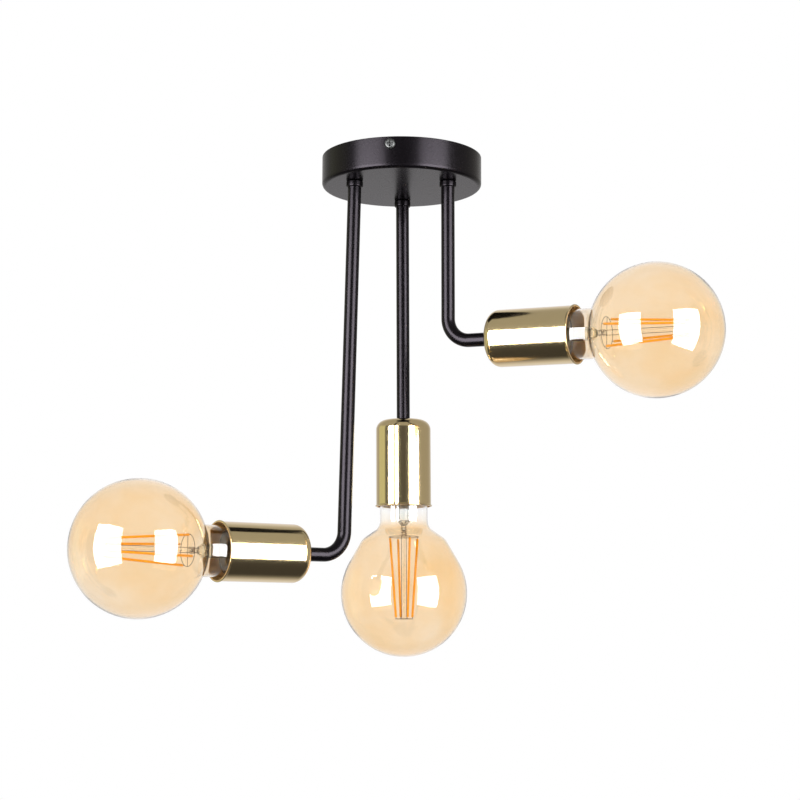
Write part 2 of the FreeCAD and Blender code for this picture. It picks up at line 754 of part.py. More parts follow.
def lead_points(kind, side):
    """The whole route of a lead from the cable's end to its terminal."""
    pole = 0 if kind == "live" else -1
    sign = 1 if (kind == "live") != (side == "right") else -1
    bottom = seat(side) + Vector(0, sign * size.lead_offset, worth(CABLE_TOP))
    rise = Vector(bottom.x, bottom.y, LEAD_RISES[kind, side])
    way = [Vector(*point) for point in LEAD_ROUTES[kind, side]]
    across, up = lead_end(kind, side)
    entry = Vector(worth(pole_places()[pole]) + across, 0, worth(SLEEVE_AXIS) + up)
    outside = entry - Vector(0, size.terminal_width / 2 + size.lead_straight, 0)
    inside = entry - Vector(0, size.terminal_width / 2 - size.lead_clamped, 0)
    return [bottom, rise, *way, outside, inside]


def make_leads(kind):
    """The three single leads of one colour."""
    solids = [round_bar(rounded_route(lead_points(kind, side)), size.lead_diameter) for side in SIDES]
    return feature_of(f"{kind}_leads", Part.makeCompound(solids))


def make_earth_lead():
    """Green and yellow lead from the ring terminal to the middle pole."""
    height = -size.strip_sheet - size.ring_sheet - size.lead_diameter / 2
    tongue_end = size.earth_place - size.ring_radius - size.ring_tongue + 2 * size.ring_sheet
    axis = worth(SLEEVE_AXIS)
    mouth = size.terminal_width / 2
    points = [
        Vector(0, tongue_end + size.earth_lead_lap, height),
        Vector(0, tongue_end - size.earth_lead_run, height),
        Vector(0, mouth + size.earth_lead_run, axis),
        Vector(0, mouth - size.lead_clamped, axis),
    ]
    return feature_of("earth_lead", round_bar(rounded_route(points), size.lead_diameter))


# ---------------------------------------------------------------- arms

def arm_path(side, top, reach):
    """Centre line of a tube in its arm frame, from a height down and out to a reach."""
    lean = f"{side}_lean"
    small = f"lean_radius * tan({lean} / 2)"
    across, height = corner(side)
    vertices = [
        ("0", top),
        ("0", f"-{LEAN_DEPTH} + {small}"),
        (f"{small} * sin({lean})", f"-{LEAN_DEPTH} - {small} * cos({lean})", "lean_radius", 1),
    ]
    angle = final_angle(side)
    if is_bent(side):
        large = "elbow_radius * tan(elbow_turn / 2)"
        vertices += [
            (f"{across} - {large} * sin({lean})", f"{height} + {large} * cos({lean})"),
            (f"{across} + {large} * sin{angle}", f"{height} - {large} * cos{angle}", "elbow_radius", 1),
        ]
    vertices.append((f"{across} + ({reach}) * sin{angle}", f"{height} - ({reach}) * cos{angle}"))
    return vertices


def swept(name, side, top, reach, radii):
    """A bar or tube along an arm: one radius for a bar, two for a tube."""
    body = new_body(name)
    spine = new_sketch(body, "XZ_Plane", "spine")
    draw_path(spine, arm_path(side, top, reach), closed=False)
    profile = new_sketch(body, "XY_Plane", "section")
    profile.setExpression(".AttachmentOffset.Base.z", bound(top))
    for radius in radii:
        draw_circle(profile, "0", "0", radius)
    pipe = body.newObject("PartDesign::AdditivePipe", f"{name}_pipe")
    pipe.Profile = profile
    pipe.Spine = (spine, [])
    document.recompute()
    area = math.pi * (worth(radii[0]) ** 2 - (worth(radii[1]) ** 2 if len(radii) > 1 else 0))
    if abs(body.Shape.Volume / (area * spine.Shape.Length) - 1) > SWEEP_TOLERANCE:
        raise RuntimeError(f"{name}: the sweep lost its section")
    body.Placement = arm_frame(side)
    return body


def make_tube(side):
    return swept(f"{side}_tube", side, TUBE_TOP, f"{holder_start(side)} + thread_grip",
                 ["tube_diameter / 2", "tube_diameter / 2 - tube_wall"])


def make_cable(side):
    reach = f"{holder_start(side)} + {PARTITION_TOP} - contact_rise - cable_end_gap"
    return swept(f"{side}_cable", side, CABLE_TOP, reach, ["cable_diameter / 2"])


def make_collar(side):
    """Rounded collar screwed up against the cover."""
    outer = "collar_diameter / 2"
    body = turned(f"{side}_collar", [
        ("tube_diameter / 2 + thread_gap", "0"),
        (f"{outer} - collar_round", "0"),
        (outer, "collar_round", "collar_round", 1),
        (outer, "collar_height - collar_round"),
        (f"{outer} - collar_round", "collar_height", "collar_round", 1),
        ("tube_diameter / 2 + thread_gap", "collar_height"),
    ])
    place = Placement(Vector(0, 0, -size.canopy_height - size.collar_height), Rotation())
    body.Placement = arm_frame(side) * place
    return body


def hex_nut(name):
    flat = "nut_flats / 2"
    point = f"{flat} / cos(30)"
    outline = [(f"{point} * cos({angle})", f"{point} * sin({angle})") for angle in range(0, 360, 60)]
    hole = ("0", "0", "tube_diameter / 2 + thread_gap")
    return extruded(name, "XY_Plane", outline, "nut_height", circles=[hole])


def make_lock_nut(side):
    nut = hex_nut(f"{side}_lock_nut")
    nut.Placement = arm_frame(side) * Placement(Vector(0, 0, worth(FLOOR_TOP)), Rotation())
    return nut


def make_cup_nut(side):
    nut = hex_nut(f"{side}_cup_nut")
    nut.Placement = along_arm(side, f"{cup_start(side)} + cup_floor")
    return nut


def make_cup(side):
    """Drawn and turned cup with a rounded closed end and a rolled lip."""
    outer = "cup_diameter / 2"
    inner = f"({outer} - cup_wall)"
    hole = "tube_diameter / 2 + thread_gap"
    lip = "cup_lip_height / 2"
    bend = "cup_end_round"
    body = turned(f"{side}_cup", [
        (hole, "0"),
        (f"{outer} - {bend}", "0"),
        (outer, bend, bend, 1),
        (outer, "cup_length - cup_lip_height"),
        (f"{outer} + cup_lip_width - {lip}", "cup_length - cup_lip_height"),
        (f"{outer} + cup_lip_width", f"cup_length - {lip}", lip, 1),
        (f"{outer} + cup_lip_width - {lip}", "cup_length", lip, 1),
        (inner, "cup_length"),
        (inner, f"cup_floor + {bend} - cup_wall"),
        (f"{outer} - {bend}", "cup_floor", f"{bend} - cup_wall", -1),
        (hole, "cup_floor"),
    ])
    body.Placement = along_arm(side, cup_start(side))
    return body


# ---------------------------------------------------------------- lampholder

SHELL_CREST = "(cap_crest_radius + cap_clearance)"
SHELL_BORE = f"({SHELL_CREST} + screw_depth + shell_sheet + sleeve_fit)"
SHELL_FOOT = f"({PARTITION_TOP} + contact_sheet + sleeve_fit)"
THREAD_FOOT = f"({SHELL_FOOT} + shell_rim)"


def thread_vertices(crest, root, foot, downwards=False):
    """Crests and roots of a rolled thread, drawn as rings of its pitch."""
    vertices = []
    for turn in range(int(size.screw_turns)):
        vertices.append((root, f"{foot} + screw_pitch * {turn + 0.25}"))
        vertices.append((crest, f"{foot} + screw_pitch * {turn + 0.75}"))
    return list(reversed(vertices)) if downwards else vertices


def make_holder_body(side):
    """Moulded lampholder: threaded neck, wire chamber, partition and socket bore."""
    outer = "holder_diameter / 2"
    underside = f"({PARTITION_TOP} - partition_thickness)"
    body = turned(f"{side}_holder_body", [
        ("tube_diameter / 2 + thread_gap", "0"),
        ("holder_neck_diameter / 2", "0"),
        ("holder_neck_diameter / 2", "holder_neck_length"),
        (outer, "holder_neck_length + holder_cone_height"),
        (outer, "holder_length"),
        (f"{SHELL_BORE} + mouth_flare", "holder_length"),
        (SHELL_BORE, "holder_length - mouth_flare_depth"),
        (SHELL_BORE, PARTITION_TOP),
        ("rivet_radius + sleeve_fit", PARTITION_TOP),
        ("rivet_radius + sleeve_fit", underside),
        (f"{outer} - 2 * holder_roof", underside),
        ("tube_diameter / 2 + thread_gap", "holder_neck_length + holder_roof"),
    ])
    body.Placement = along_arm(side, holder_start(side))
    return body


def make_holder_shell(side):
    """Rolled brass screw shell."""
    root = f"{SHELL_CREST} + screw_depth"
    top = f"{THREAD_FOOT} + screw_pitch * screw_turns + shell_rim"
    outside = thread_vertices(f"{SHELL_CREST} + shell_sheet", f"{root} + shell_sheet", THREAD_FOOT)
    inside = thread_vertices(SHELL_CREST, root, THREAD_FOOT, downwards=True)
    body = turned(f"{side}_holder_shell", [
        (root, SHELL_FOOT),
        (f"{root} + shell_sheet", SHELL_FOOT),
        *outside,
        (f"{root} + shell_sheet", top),
        (root, top),
        *inside,
    ])
    body.Placement = along_arm(side, holder_start(side))
    return body


def make_holder_contact(side):
    """Sprung centre contact on its rivet."""
    foot = PARTITION_TOP
    crown = f"({foot} + contact_rise)"
    body = turned(f"{side}_holder_contact", [
        ("0", f"{foot} - contact_rise"),
        ("rivet_radius", f"{foot} - contact_rise"),
        ("rivet_radius", foot),
        ("contact_radius", foot),
        ("contact_radius", f"{foot} + contact_sheet"),
        ("contact_radius / 2", crown),
        ("0", crown),
    ])
    body.Placement = along_arm(side, holder_start(side))
    return body


# ---------------------------------------------------------------- bulb
# Each piece has the globe's middle as its origin and Z towards the cap.

GLASS_END_RADIUS = "(cap_crest_radius - cap_sheet - glass_in_cap_gap)"
GLASS_END = "cap_edge + cap_skirt - cap_sheet"


def bulb_frame(side):
    return facing_back(along_arm(side, bulb_middle(side)))


def shouldered_globe():
    """Outline from globe to neck of the centre bulb, outside and inside: cone, shoulder and flare."""
    globe, wall = "globe_diameter / 2", "glass_wall"
    cone, slope, flare = "globe_cone_angle", "neck_slope_angle", "neck_flare_radius"
    corner_radius = f"({globe} * sin({cone}) - (shoulder_height - {globe} * cos({cone})) / tan({cone}))"
    reach = f"(shoulder_round * tan(({slope} - 90 + {cone}) / 2))"
    drop = f"({corner_radius} - neck_radius - {flare} + {flare} * cos({slope}))"
    start = (f"{corner_radius} + {reach} * cos({cone})", f"shoulder_height - {reach} * sin({cone})")
    end = (f"{corner_radius} - {reach} * sin({slope})", f"shoulder_height + {reach} * cos({slope})")
    middle = f"(shoulder_height + {drop} / tan({slope}) + {flare} * sin({slope}))"
    outside = [
        (f"{globe} * sin({cone})", f"{globe} * cos({cone})", globe, 1),
        start,
        (*end, "shoulder_round", 1),
        (f"neck_radius + {flare} - {flare} * cos({slope})", f"{middle} - {flare} * sin({slope})"),
        ("neck_radius", middle, flare, -1),
    ]
    inside = [
        (f"neck_radius - {wall}", middle),
        (f"neck_radius + {flare} - ({flare} + {wall}) * cos({slope})",
         f"{middle} - ({flare} + {wall}) * sin({slope})", f"{flare} + {wall}", 1),
        (f"{end[0]} - {wall} * cos({slope})", f"{end[1]} - {wall} * sin({slope})"),
        (f"{start[0]} - {wall} * sin({cone})", f"{start[1]} - {wall} * cos({cone})",
         f"shoulder_round - {wall}", -1),
        (f"({globe} - {wall}) * sin({cone})", f"({globe} - {wall}) * cos({cone})"),
    ]
    return outside, inside


def round_globe():
    """The same of the bent arms' bulbs: the globe stays round and one small round meets the neck."""
    globe, wall, flare = "globe_diameter / 2", "glass_wall", "arm_flare_radius"
    reach = f"({globe} + {flare})"
    across = f"(neck_radius + {flare})"
    middle = f"sqrt({reach} * {reach} - {across} * {across})"
    outside = [
        (f"{across} * {globe} / {reach}", f"{middle} * {globe} / {reach}", globe, 1),
        ("neck_radius", middle, flare, -1),
    ]
    inside = [
        (f"neck_radius - {wall}", middle),
        (f"{across} * ({globe} - {wall}) / {reach}", f"{middle} * ({globe} - {wall}) / {reach}",
         f"{flare} + {wall}", 1),
    ]
    return outside, inside


def make_glass(side):
    """Blown globe with a straight neck that narrows into the cap."""
    globe, wall = "globe_diameter / 2", "glass_wall"
    outside, inside = round_globe() if is_bent(side) else shouldered_globe()
    neck_end, cap_edge = neck_height(side, "neck_end"), neck_height(side, "cap_edge")
    glass_end = neck_height(side, GLASS_END)
    step = f"(neck_radius - {GLASS_END_RADIUS})"
    rise = "(cap_edge - neck_end)"
    end_round = f"(({step} * {step} + {rise} * {rise}) / (2 * {step}))"
    body = turned(f"{side}_bulb_glass", [
        ("0", f"-{globe}"),
        *outside,
        ("neck_radius", neck_end),
        (GLASS_END_RADIUS, cap_edge, end_round, 1),
        (GLASS_END_RADIUS, glass_end),
        (f"{GLASS_END_RADIUS} - {wall}", glass_end),
        (f"{GLASS_END_RADIUS} - {wall}", cap_edge),
        (f"neck_radius - {wall}", neck_end, f"{end_round} - {wall}", -1),
        *inside,
        ("0", f"-({globe} - {wall})", f"{globe} - {wall}", -1),
    ])
    body.Placement = bulb_frame(side)
    return body


def make_cap(side):
    """Rolled E27 screw cap."""
    crest = "cap_crest_radius"
    root = f"({crest} - screw_depth)"
    edge = neck_height(side, "cap_edge")
    foot = f"({edge} + cap_skirt)"
    top = f"({foot} + screw_pitch * screw_turns)"
    bore = f"({root} - cap_sheet)"
    button = f"({neck_height(side, 'bulb_tip')} - tip_height - insulator_height)"
    body = turned(f"{side}_bulb_cap", [
        (crest, edge),
        (crest, foot),
        *thread_vertices(crest, root, foot),
        (root, top),
        ("insulator_radius + cap_sheet", button),
        ("insulator_radius", button),
        (bore, f"{top} - cap_sheet"),
        (bore, f"{foot} + cap_sheet"),
        (f"{crest} - cap_sheet", f"{foot} - cap_sheet / 2"),
        (f"{crest} - cap_sheet", edge),
    ])
    body.Placement = bulb_frame(side)
    return body


def make_bulb_contact(side):
    """Glass insulator with the solder contact on its end."""
    tip = neck_height(side, "bulb_tip")
    tip_foot = f"({tip} - tip_height)"
    body = turned(f"{side}_bulb_contact", [
        ("0", f"{tip_foot} - insulator_height"),
        ("insulator_radius", f"{tip_foot} - insulator_height"),
        ("insulator_radius", f"{tip_foot} - insulator_height / 2"),
        ("tip_radius", tip_foot),
        ("tip_radius - tip_height / 2", tip),
        ("0", tip),
    ])
    body.Placement = bulb_frame(side)
    return body


def make_stem(side):
    """Glass stem: a flange sealed to the neck, a tube and a pinched end."""
    wall = "stem_wall"
    flange = f"({GLASS_END_RADIUS} - glass_wall - wire_gap)"
    top, end = neck_height(side, GLASS_END), stem_height(side, "stem_end")
    body = turned(f"{side}_bulb_stem", [
        ("0", end),
        ("stem_radius", end),
        ("stem_radius", f"{top} - {flange} + stem_radius"),
        (flange, top, f"{flange} - stem_radius", -1),
        (f"{flange} - {wall}", top),
        (f"stem_radius - {wall}", f"{top} - {flange} + stem_radius", f"{flange} - stem_radius", 1),
        (f"stem_radius - {wall}", f"{end} + stem_pinch"),
        ("0", f"{end} + stem_pinch"),
    ])
    body.Placement = bulb_frame(side)
    return body


def make_filaments(side):
    """Straight filaments that lean in towards the globe's far end."""
    rods = []
    near = Vector(size.filament_near_radius, 0, worth(stem_height(side, "filament_near_height")))
    far = Vector(size.filament_far_radius, 0, worth(stem_height(side, "filament_far_height")))
    for index in range(int(size.filament_count)):
        turn = Rotation(Vector(0, 0, 1), size.filament_turn + index * 360 / size.filament_count)
        rods.append(Part.makeCylinder(size.filament_diameter / 2, (near - far).Length,
                                      turn.multVec(far), turn.multVec(near - far)))
    feature = feature_of(f"{side}_bulb_filaments", Part.makeCompound(rods))
    feature.Placement = bulb_frame(side)
    return feature


def bar_between(start, end, radius):
    return Part.makeCylinder(radius, (end - start).Length, start, end - start)


def make_wires(side):
    """Support wires: two rods from the stem, a ring at each end and spokes to the rings."""
    radius = size.wire_diameter / 2
    near = worth(stem_height(side, "filament_near_height")) + size.wire_gap + radius
    far = worth(stem_height(side, "filament_far_height")) - size.wire_gap - radius
    stem_end = worth(stem_height(side, "stem_end"))
    half = size.rod_spacing / 2
    pieces = [
        Part.makeTorus(size.filament_near_radius, radius, Vector(0, 0, near)),
        Part.makeTorus(size.filament_far_radius, radius, Vector(0, 0, far)),
    ]
    for sign in (-1, 1):
        rod_top = Vector(0, sign * half, stem_end)
        pieces.append(bar_between(rod_top, Vector(0, sign * half, far), radius))
        ring = size.filament_near_radius if sign > 0 else size.filament_far_radius
        height = near if sign > 0 else far
        pieces.append(bar_between(Vector(0, sign * half, height), Vector(0, sign * ring, height), radius))
    feature = feature_of(f"{side}_bulb_wires", pieces[0].multiFuse(pieces[1:]))
    feature.Placement = bulb_frame(side)
    return feature


# ---------------------------------------------------------------- the whole lamp

def build():
    """Make every node of the lamp and return them in order."""
    nodes = [
        make_strip(), make_cover(), make_cover_screws(),
        make_terminal_housing(), make_terminal_sleeves(), make_terminal_screws(), make_housing_screw(),
        make_earth_screw(), make_earth_ring(), make_earth_lead(), make_leads("live"), make_leads("neutral"),
    ]
    for side in SIDES:
        nodes += [
            make_tube(side), make_collar(side), make_lock_nut(side), make_cable(side),
            make_cup(side), make_cup_nut(side),
            make_holder_body(side), make_holder_shell(side), make_holder_contact(side),
            make_glass(side), make_cap(side), make_bulb_contact(side), make_stem(side),
            make_filaments(side), make_wires(side),
        ]
    return nodes


def check(nodes):
    """Stop if any object failed or any node has no sound solid."""
    document.recompute()
    for item in document.Objects:
        if {"Invalid", "Error"} & set(item.State):
            raise RuntimeError(f"{item.Label} failed: {item.State}")
    for node in nodes:
        if node.Shape.isNull() or not node.Shape.isValid() or not node.Shape.Solids:
            raise RuntimeError(f"{node.Label} has no sound solid")


def write(nodes):
    os.makedirs("parts", exist_ok=True)
    for node in nodes:
        node.Shape.exportStep(os.path.join("parts", f"{node.Label}.step"))


lamp = build()
check(lamp)
write(lamp)
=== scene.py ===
"""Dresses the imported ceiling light: turned shells, bent tubes, amber bulbs and their finishes."""
import json
import math

import bmesh
import bpy
from mathutils import Matrix, Vector


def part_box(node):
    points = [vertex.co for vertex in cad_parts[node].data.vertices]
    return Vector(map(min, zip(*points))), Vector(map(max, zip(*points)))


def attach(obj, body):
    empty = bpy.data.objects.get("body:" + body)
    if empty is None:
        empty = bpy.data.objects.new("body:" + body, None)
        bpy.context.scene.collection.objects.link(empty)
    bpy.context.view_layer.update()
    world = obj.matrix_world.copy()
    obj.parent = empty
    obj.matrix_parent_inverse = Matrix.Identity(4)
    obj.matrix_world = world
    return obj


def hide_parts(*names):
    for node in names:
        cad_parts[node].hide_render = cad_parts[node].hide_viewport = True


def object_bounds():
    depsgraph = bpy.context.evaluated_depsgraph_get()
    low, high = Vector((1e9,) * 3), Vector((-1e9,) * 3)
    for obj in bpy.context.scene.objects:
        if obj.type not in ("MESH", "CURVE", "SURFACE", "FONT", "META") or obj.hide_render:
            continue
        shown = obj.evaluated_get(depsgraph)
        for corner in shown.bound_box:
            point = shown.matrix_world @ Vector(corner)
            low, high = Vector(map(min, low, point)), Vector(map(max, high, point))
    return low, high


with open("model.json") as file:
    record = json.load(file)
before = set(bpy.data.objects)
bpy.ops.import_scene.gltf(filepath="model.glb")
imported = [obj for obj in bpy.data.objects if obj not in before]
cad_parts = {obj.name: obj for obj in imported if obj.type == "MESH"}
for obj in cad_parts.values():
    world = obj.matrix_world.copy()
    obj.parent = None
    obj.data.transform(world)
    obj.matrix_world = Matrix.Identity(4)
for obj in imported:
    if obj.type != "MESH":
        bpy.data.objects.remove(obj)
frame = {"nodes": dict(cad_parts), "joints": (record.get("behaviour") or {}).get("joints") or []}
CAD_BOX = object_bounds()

bl_info = {
    "name": "Ceiling Light",
    "version": (1, 0, 0),
    "blender": (4, 5, 0),
    "location": "3D View > Sidebar > Ceiling Light",
    "description": "Builds the looks of a semi flush ceiling light around its construction model",
    "category": "Object",
}

MM = 0.001
SIDES = ("left", "centre", "right")
UP = Vector((0, 0, 1))


def linear(code):
    """Scene-linear red, green and blue of an sRGB hex colour."""
    parts = [int(code[place:place + 2], 16) / 255 for place in (1, 3, 5)]
    return tuple(part / 12.92 if part <= 0.04045 else ((part + 0.055) / 1.055) ** 2.4 for part in parts)


def length_property(name, description, millimetres):
    """A length, given in millimetres."""
    return bpy.props.FloatProperty(
        name=name, description=description, default=millimetres * MM, min=0.0,
        subtype="DISTANCE", unit="LENGTH", precision=5)


def angle_property(name, description, degrees):
    """An angle, given in degrees."""
    return bpy.props.FloatProperty(
        name=name, description=description, default=math.radians(degrees),
        subtype="ANGLE", unit="ROTATION")


def number_property(name, description, value):
    """A plain number."""
    return bpy.props.FloatProperty(name=name, description=description, default=value, min=0.0)


def colour_property(name, description, code):
    """A colour, given as an sRGB hex value."""
    return bpy.props.FloatVectorProperty(
        name=name, description=description, default=linear(code), size=3,
        min=0.0, max=1.0, subtype="COLOR")


class CeilingLightSizes(bpy.types.PropertyGroup):
    """Sizes of the lamp that its construction model doesn't state as a box"""

    canopy_sheet: length_property("Canopy Sheet", "Sheet steel of the canopy", 1.2)
    canopy_edge: length_property("Canopy Edge", "Round between the canopy's side and underside", 3.0)
    tube_radius: length_property("Tube Radius", "Outside radius of the three tubes", 5.0)
    tube_wall: length_property("Tube Wall", "Wall of the three tubes", 1.0)
    elbow_radius: length_property("Elbow Radius", "Centre line radius of the two elbows", 17.5)
    lean_radius: length_property("Lean Radius", "Bend where a tube leaves the vertical", 60.0)
    elbow_turn: angle_property("Elbow Turn", "Angle that both elbows are bent by", 88.4)
    thread_gap: length_property("Thread Gap", "Radial gap of a piece that is screwed on a tube", 0.05)
    cup_radius: length_property("Cup Radius", "Outside radius of the brass cups", 20.75)
    cup_wall: length_property("Cup Wall", "Wall of the brass cups", 0.8)
    cup_floor: length_property("Cup Floor", "Thickness of a cup's closed end", 2.0)
    cup_end_round: length_property("Cup End Round", "Round of a cup's closed end", 7.5)
    cup_lip_width: length_property("Cup Lip Width", "How far a cup's rolled lip stands out", 0.75)
    cup_lip_height: length_property("Cup Lip Height", "Height of a cup's rolled lip", 1.2)
    globe_radius: length_property("Globe Radius", "Outside radius of the bulbs' globes", 47.5)
    glass_wall: length_property("Glass Wall", "Wall of the bulbs' glass", 0.9)
    globe_cone_angle: angle_property("Globe Cone", "Where the globe runs out into its shoulder", 60)
    neck_slope_angle: angle_property("Neck Slope", "Slope of the shoulder into the neck", 56)
    shoulder_height: length_property("Shoulder Height", "Globe middle to the shoulder's corner", 40.9)
    shoulder_round: length_property("Shoulder Round", "Round of the shoulder", 14.0)
    neck_radius: length_property("Neck Radius", "Bulb neck at the cup's rim", 18.0)
    neck_flare_radius: length_property("Neck Flare", "Round between slope and neck", 9.0)
    arm_flare_radius: length_property("Round Bulb Flare", "Round from globe to neck, arms' bulbs", 5.0)
    neck_taper: length_property("Neck Taper", "Height over which the neck narrows to the cap", 8.5)
    clear_neck: length_property("Clear Neck", "Glass left clear, from its end in the cap", 17.0)
    tint_fade: length_property("Tint Fade", "Height over which the amber tint fades in", 12.0)
    glass_end_radius: length_property("Glass End Radius", "Radius of the glass in the cap", 12.85)
    stem_radius: length_property("Stem Radius", "Radius of the glass stem", 4.8)
    stem_wall: length_property("Stem Wall", "Wall of the glass stem", 0.8)
    filament_radius: length_property("Filament Radius", "Radius of a coated filament", 0.85)
    filament_tab: length_property("Filament Tab", "Bare metal at each end of a filament", 1.2)
    near_radius: length_property("Near Radius", "Filament ends at the cap side, from the axis", 11.4)
    near_drop: length_property("Near Drop", "Stem's end to the filament ends at the cap side", 6.2)
    far_radius: length_property("Far Radius", "Filament ends in the globe, from the axis", 6.6)
    far_drop: length_property("Far Drop", "Stem's end to the filament ends in the globe", 68.0)
    rod_spacing: length_property("Rod Spacing", "Between the two support rods", 3.6)
    wire_radius: length_property("Wire Radius", "Radius of the bulbs' support wires", 0.2)
    filament_count: bpy.props.IntProperty(
        name="Filaments", description="Filaments in each bulb", default=4, min=1, max=12)
    filament_turn: angle_property("Filament Turn", "Place of the first filament round the axis", 24)


class CeilingLightColours(bpy.types.PropertyGroup):
    """Colours of the lamp's finishes"""

    coat: colour_property("Coat", "Powder coat of the canopy, tubes and collars", "#0B090C")
    brass: colour_property("Brass", "Polished brass of the cups", "#DAC69B")
    amber: colour_property("Amber", "Tint that each surface of the globes gives", "#FDE5C0")
    filament: colour_property("Filament", "Coating of the filaments", "#FCB000")


class CeilingLightStudio(bpy.types.PropertyGroup):
    """Camera, softboxes and floor"""

    place: bpy.props.FloatVectorProperty(
        name="Camera Place", description="Where the camera stands", size=3,
        default=(0.1899, -1.3216, -0.3728), subtype="TRANSLATION", unit="LENGTH")
    heading: angle_property("Camera Heading", "Turn of the camera to the left, from +Y", 8.2)
    pitch: angle_property("Camera Pitch", "How far the camera looks up", 8.029)
    roll: angle_property("Camera Roll", "Turn of the camera about its view", 0.26)
    lens: number_property("Lens", "Focal length in millimetres", 81.745)
    light_level: number_property("Light Level", "Radiance of the softboxes on surfaces", 1.2)
    card_level: number_property("Card Level", "Radiance of the softboxes in reflections", 22.0)
    fill_level: number_property("Fill Level", "Level of the surroundings on surfaces", 0.8)
    softbox_azimuth: angle_property("Softbox Azimuth", "From the camera to each softbox", 47)
    softbox_drop: length_property("Softbox Drop", "Middle of the softboxes under the ceiling", 265.0)
    softbox_distance: length_property("Softbox Distance", "Lamp to softbox", 1200.0)
    softbox_width: length_property("Softbox Width", "Width of each softbox", 930.0)
    softbox_tall: length_property("Softbox Length", "Upright length of each softbox", 1190.0)
    floor_radius: length_property("Floor Radius", "Radius of the pale floor", 4000.0)
    floor_drop: length_property("Floor Drop", "Ceiling to the pale floor", 1500.0)


def sizes():
    """The lamp's sizes, as they are set in the scene."""
    return bpy.context.scene.ceiling_light_sizes


def colours():
    """The lamp's colours, as they are set in the scene."""
    return bpy.context.scene.ceiling_light_colours


def studio():
    """The camera and studio, as they are set in the scene."""
    return bpy.context.scene.ceiling_light_studio


# ---------------------------------------------------------------- where things are

def joint(name):
    """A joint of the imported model, by name."""
    return next(item for item in frame["joints"] if item["name"] == name)


def arm_body(side):
    """The body that a side's tube and cup belong to."""
    return "root" if side == "centre" else f"{side}_arm"


def corners(node):
    """Every corner of a CAD node's mesh."""
    return [corner.co for corner in frame["nodes"][node].data.vertices]


def heading(side):
    """The way a bulb leaves its cup."""
    return Vector(joint(f"{side}_bulb_removal")["axis"]).normalized()


def globe_middle(side):
    """Middle of a bulb's globe: one radius back from the globe's far end."""
    way = heading(side)
    pole = max(corners(f"{side}_bulb_glass"), key=way.dot)
    lowest = pole.dot(way) - sizes().globe_radius
    axis_point = sum(corners(f"{side}_bulb_cap"), Vector()) / len(corners(f"{side}_bulb_cap"))
    return axis_point + way * (lowest - axis_point.dot(way))


def bulb_frame(side):
    """Matrix of a frame with its origin in the globe's middle and its Z towards the cap."""
    z_axis = -heading(side)
    y_axis = UP.cross(z_axis).normalized()
    x_axis = y_axis.cross(z_axis)
    turn = Matrix((x_axis, y_axis, z_axis)).transposed().to_4x4()
    return Matrix.Translation(globe_middle(side)) @ turn


def reach(node, side):
    """Lowest and highest place of a node along the axis of a bulb's frame."""
    back = bulb_frame(side).inverted()
    heights = [(back @ corner).z for corner in corners(node)]
    return min(heights), max(heights)


def tube_axis(side):
    """Where a tube's vertical axis crosses the ceiling."""
    if side == "centre":
        low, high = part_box("centre_collar")
        middle = (low + high) / 2
    else:
        middle = Vector(joint(f"{side}_swivel")["pos_m"])
    return Vector((middle.x, middle.y, 0))


# ---------------------------------------------------------------- meshes

ARC_STEP = math.radians(5)
SHARP_ANGLE = math.radians(32)
# Straight runs get a point this close to each end, which keeps their smooth shading straight.
SUPPORT = 0.4 * MM
# A point of an outline that is nearer to the axis than this is the pole of the turned shape.
ON_AXIS = 1e-7


def arc_points(start, end, radius, side):
    """Points after start on the short arc to end, its centre left (1) or right (-1) of the chord."""
    chord = end - start
    rise = math.sqrt(max(radius ** 2 - (chord.length / 2) ** 2, 0.0))
    centre = (start + end) / 2 + Vector((-chord.y, chord.x)).normalized() * (rise * side)
    first = start - centre
    sweep = first.angle_signed(end - centre)
    count = max(3, math.ceil(abs(sweep) / ARC_STEP))
    points = []
    for index in range(1, count):
        turn = Matrix.Rotation(-sweep * index / count, 2)
        points.append(centre + turn @ first)
    return points + [end]


def outlined(vertices, closed):
    """Points of an outline. A vertex is (radius, height), or (radius, height, bend, side) if the
    line comes to it on an arc."""
    places = [Vector(vertex[:2]) for vertex in vertices]
    points = [places[0]]
    steps = len(vertices) if closed else len(vertices) - 1
    for index in range(steps):
        start, end = places[index], places[(index + 1) % len(vertices)]
        target = vertices[(index + 1) % len(vertices)]
        if len(target) == 4 and index + 1 < len(vertices):
            points += arc_points(start, end, target[2], target[3])
            continue
        run = end - start
        if run.length > 4 * SUPPORT:
            points += [start + run.normalized() * SUPPORT, end - run.normalized() * SUPPORT]
        points.append(end)
    return points[:-1] if closed else points


def ring_path(radius, height, steps):
    """Points evenly spaced on a level circle round the Z axis."""
    angles = [math.tau * index / steps for index in range(steps)]
    return [Vector((radius * math.cos(angle), radius * math.sin(angle), height)) for angle in angles]


def plain_mesh(name, build):
    """Turn a bmesh into a mesh and free it."""
    mesh = bpy.data.meshes.new(name)
    build.to_mesh(mesh)
    build.free()
    return mesh


def linked_object(name, data):
    """An object with this mesh, light or camera, in the scene."""
    made = bpy.data.objects.new(name, data)
    bpy.context.scene.collection.objects.link(made)
    return made


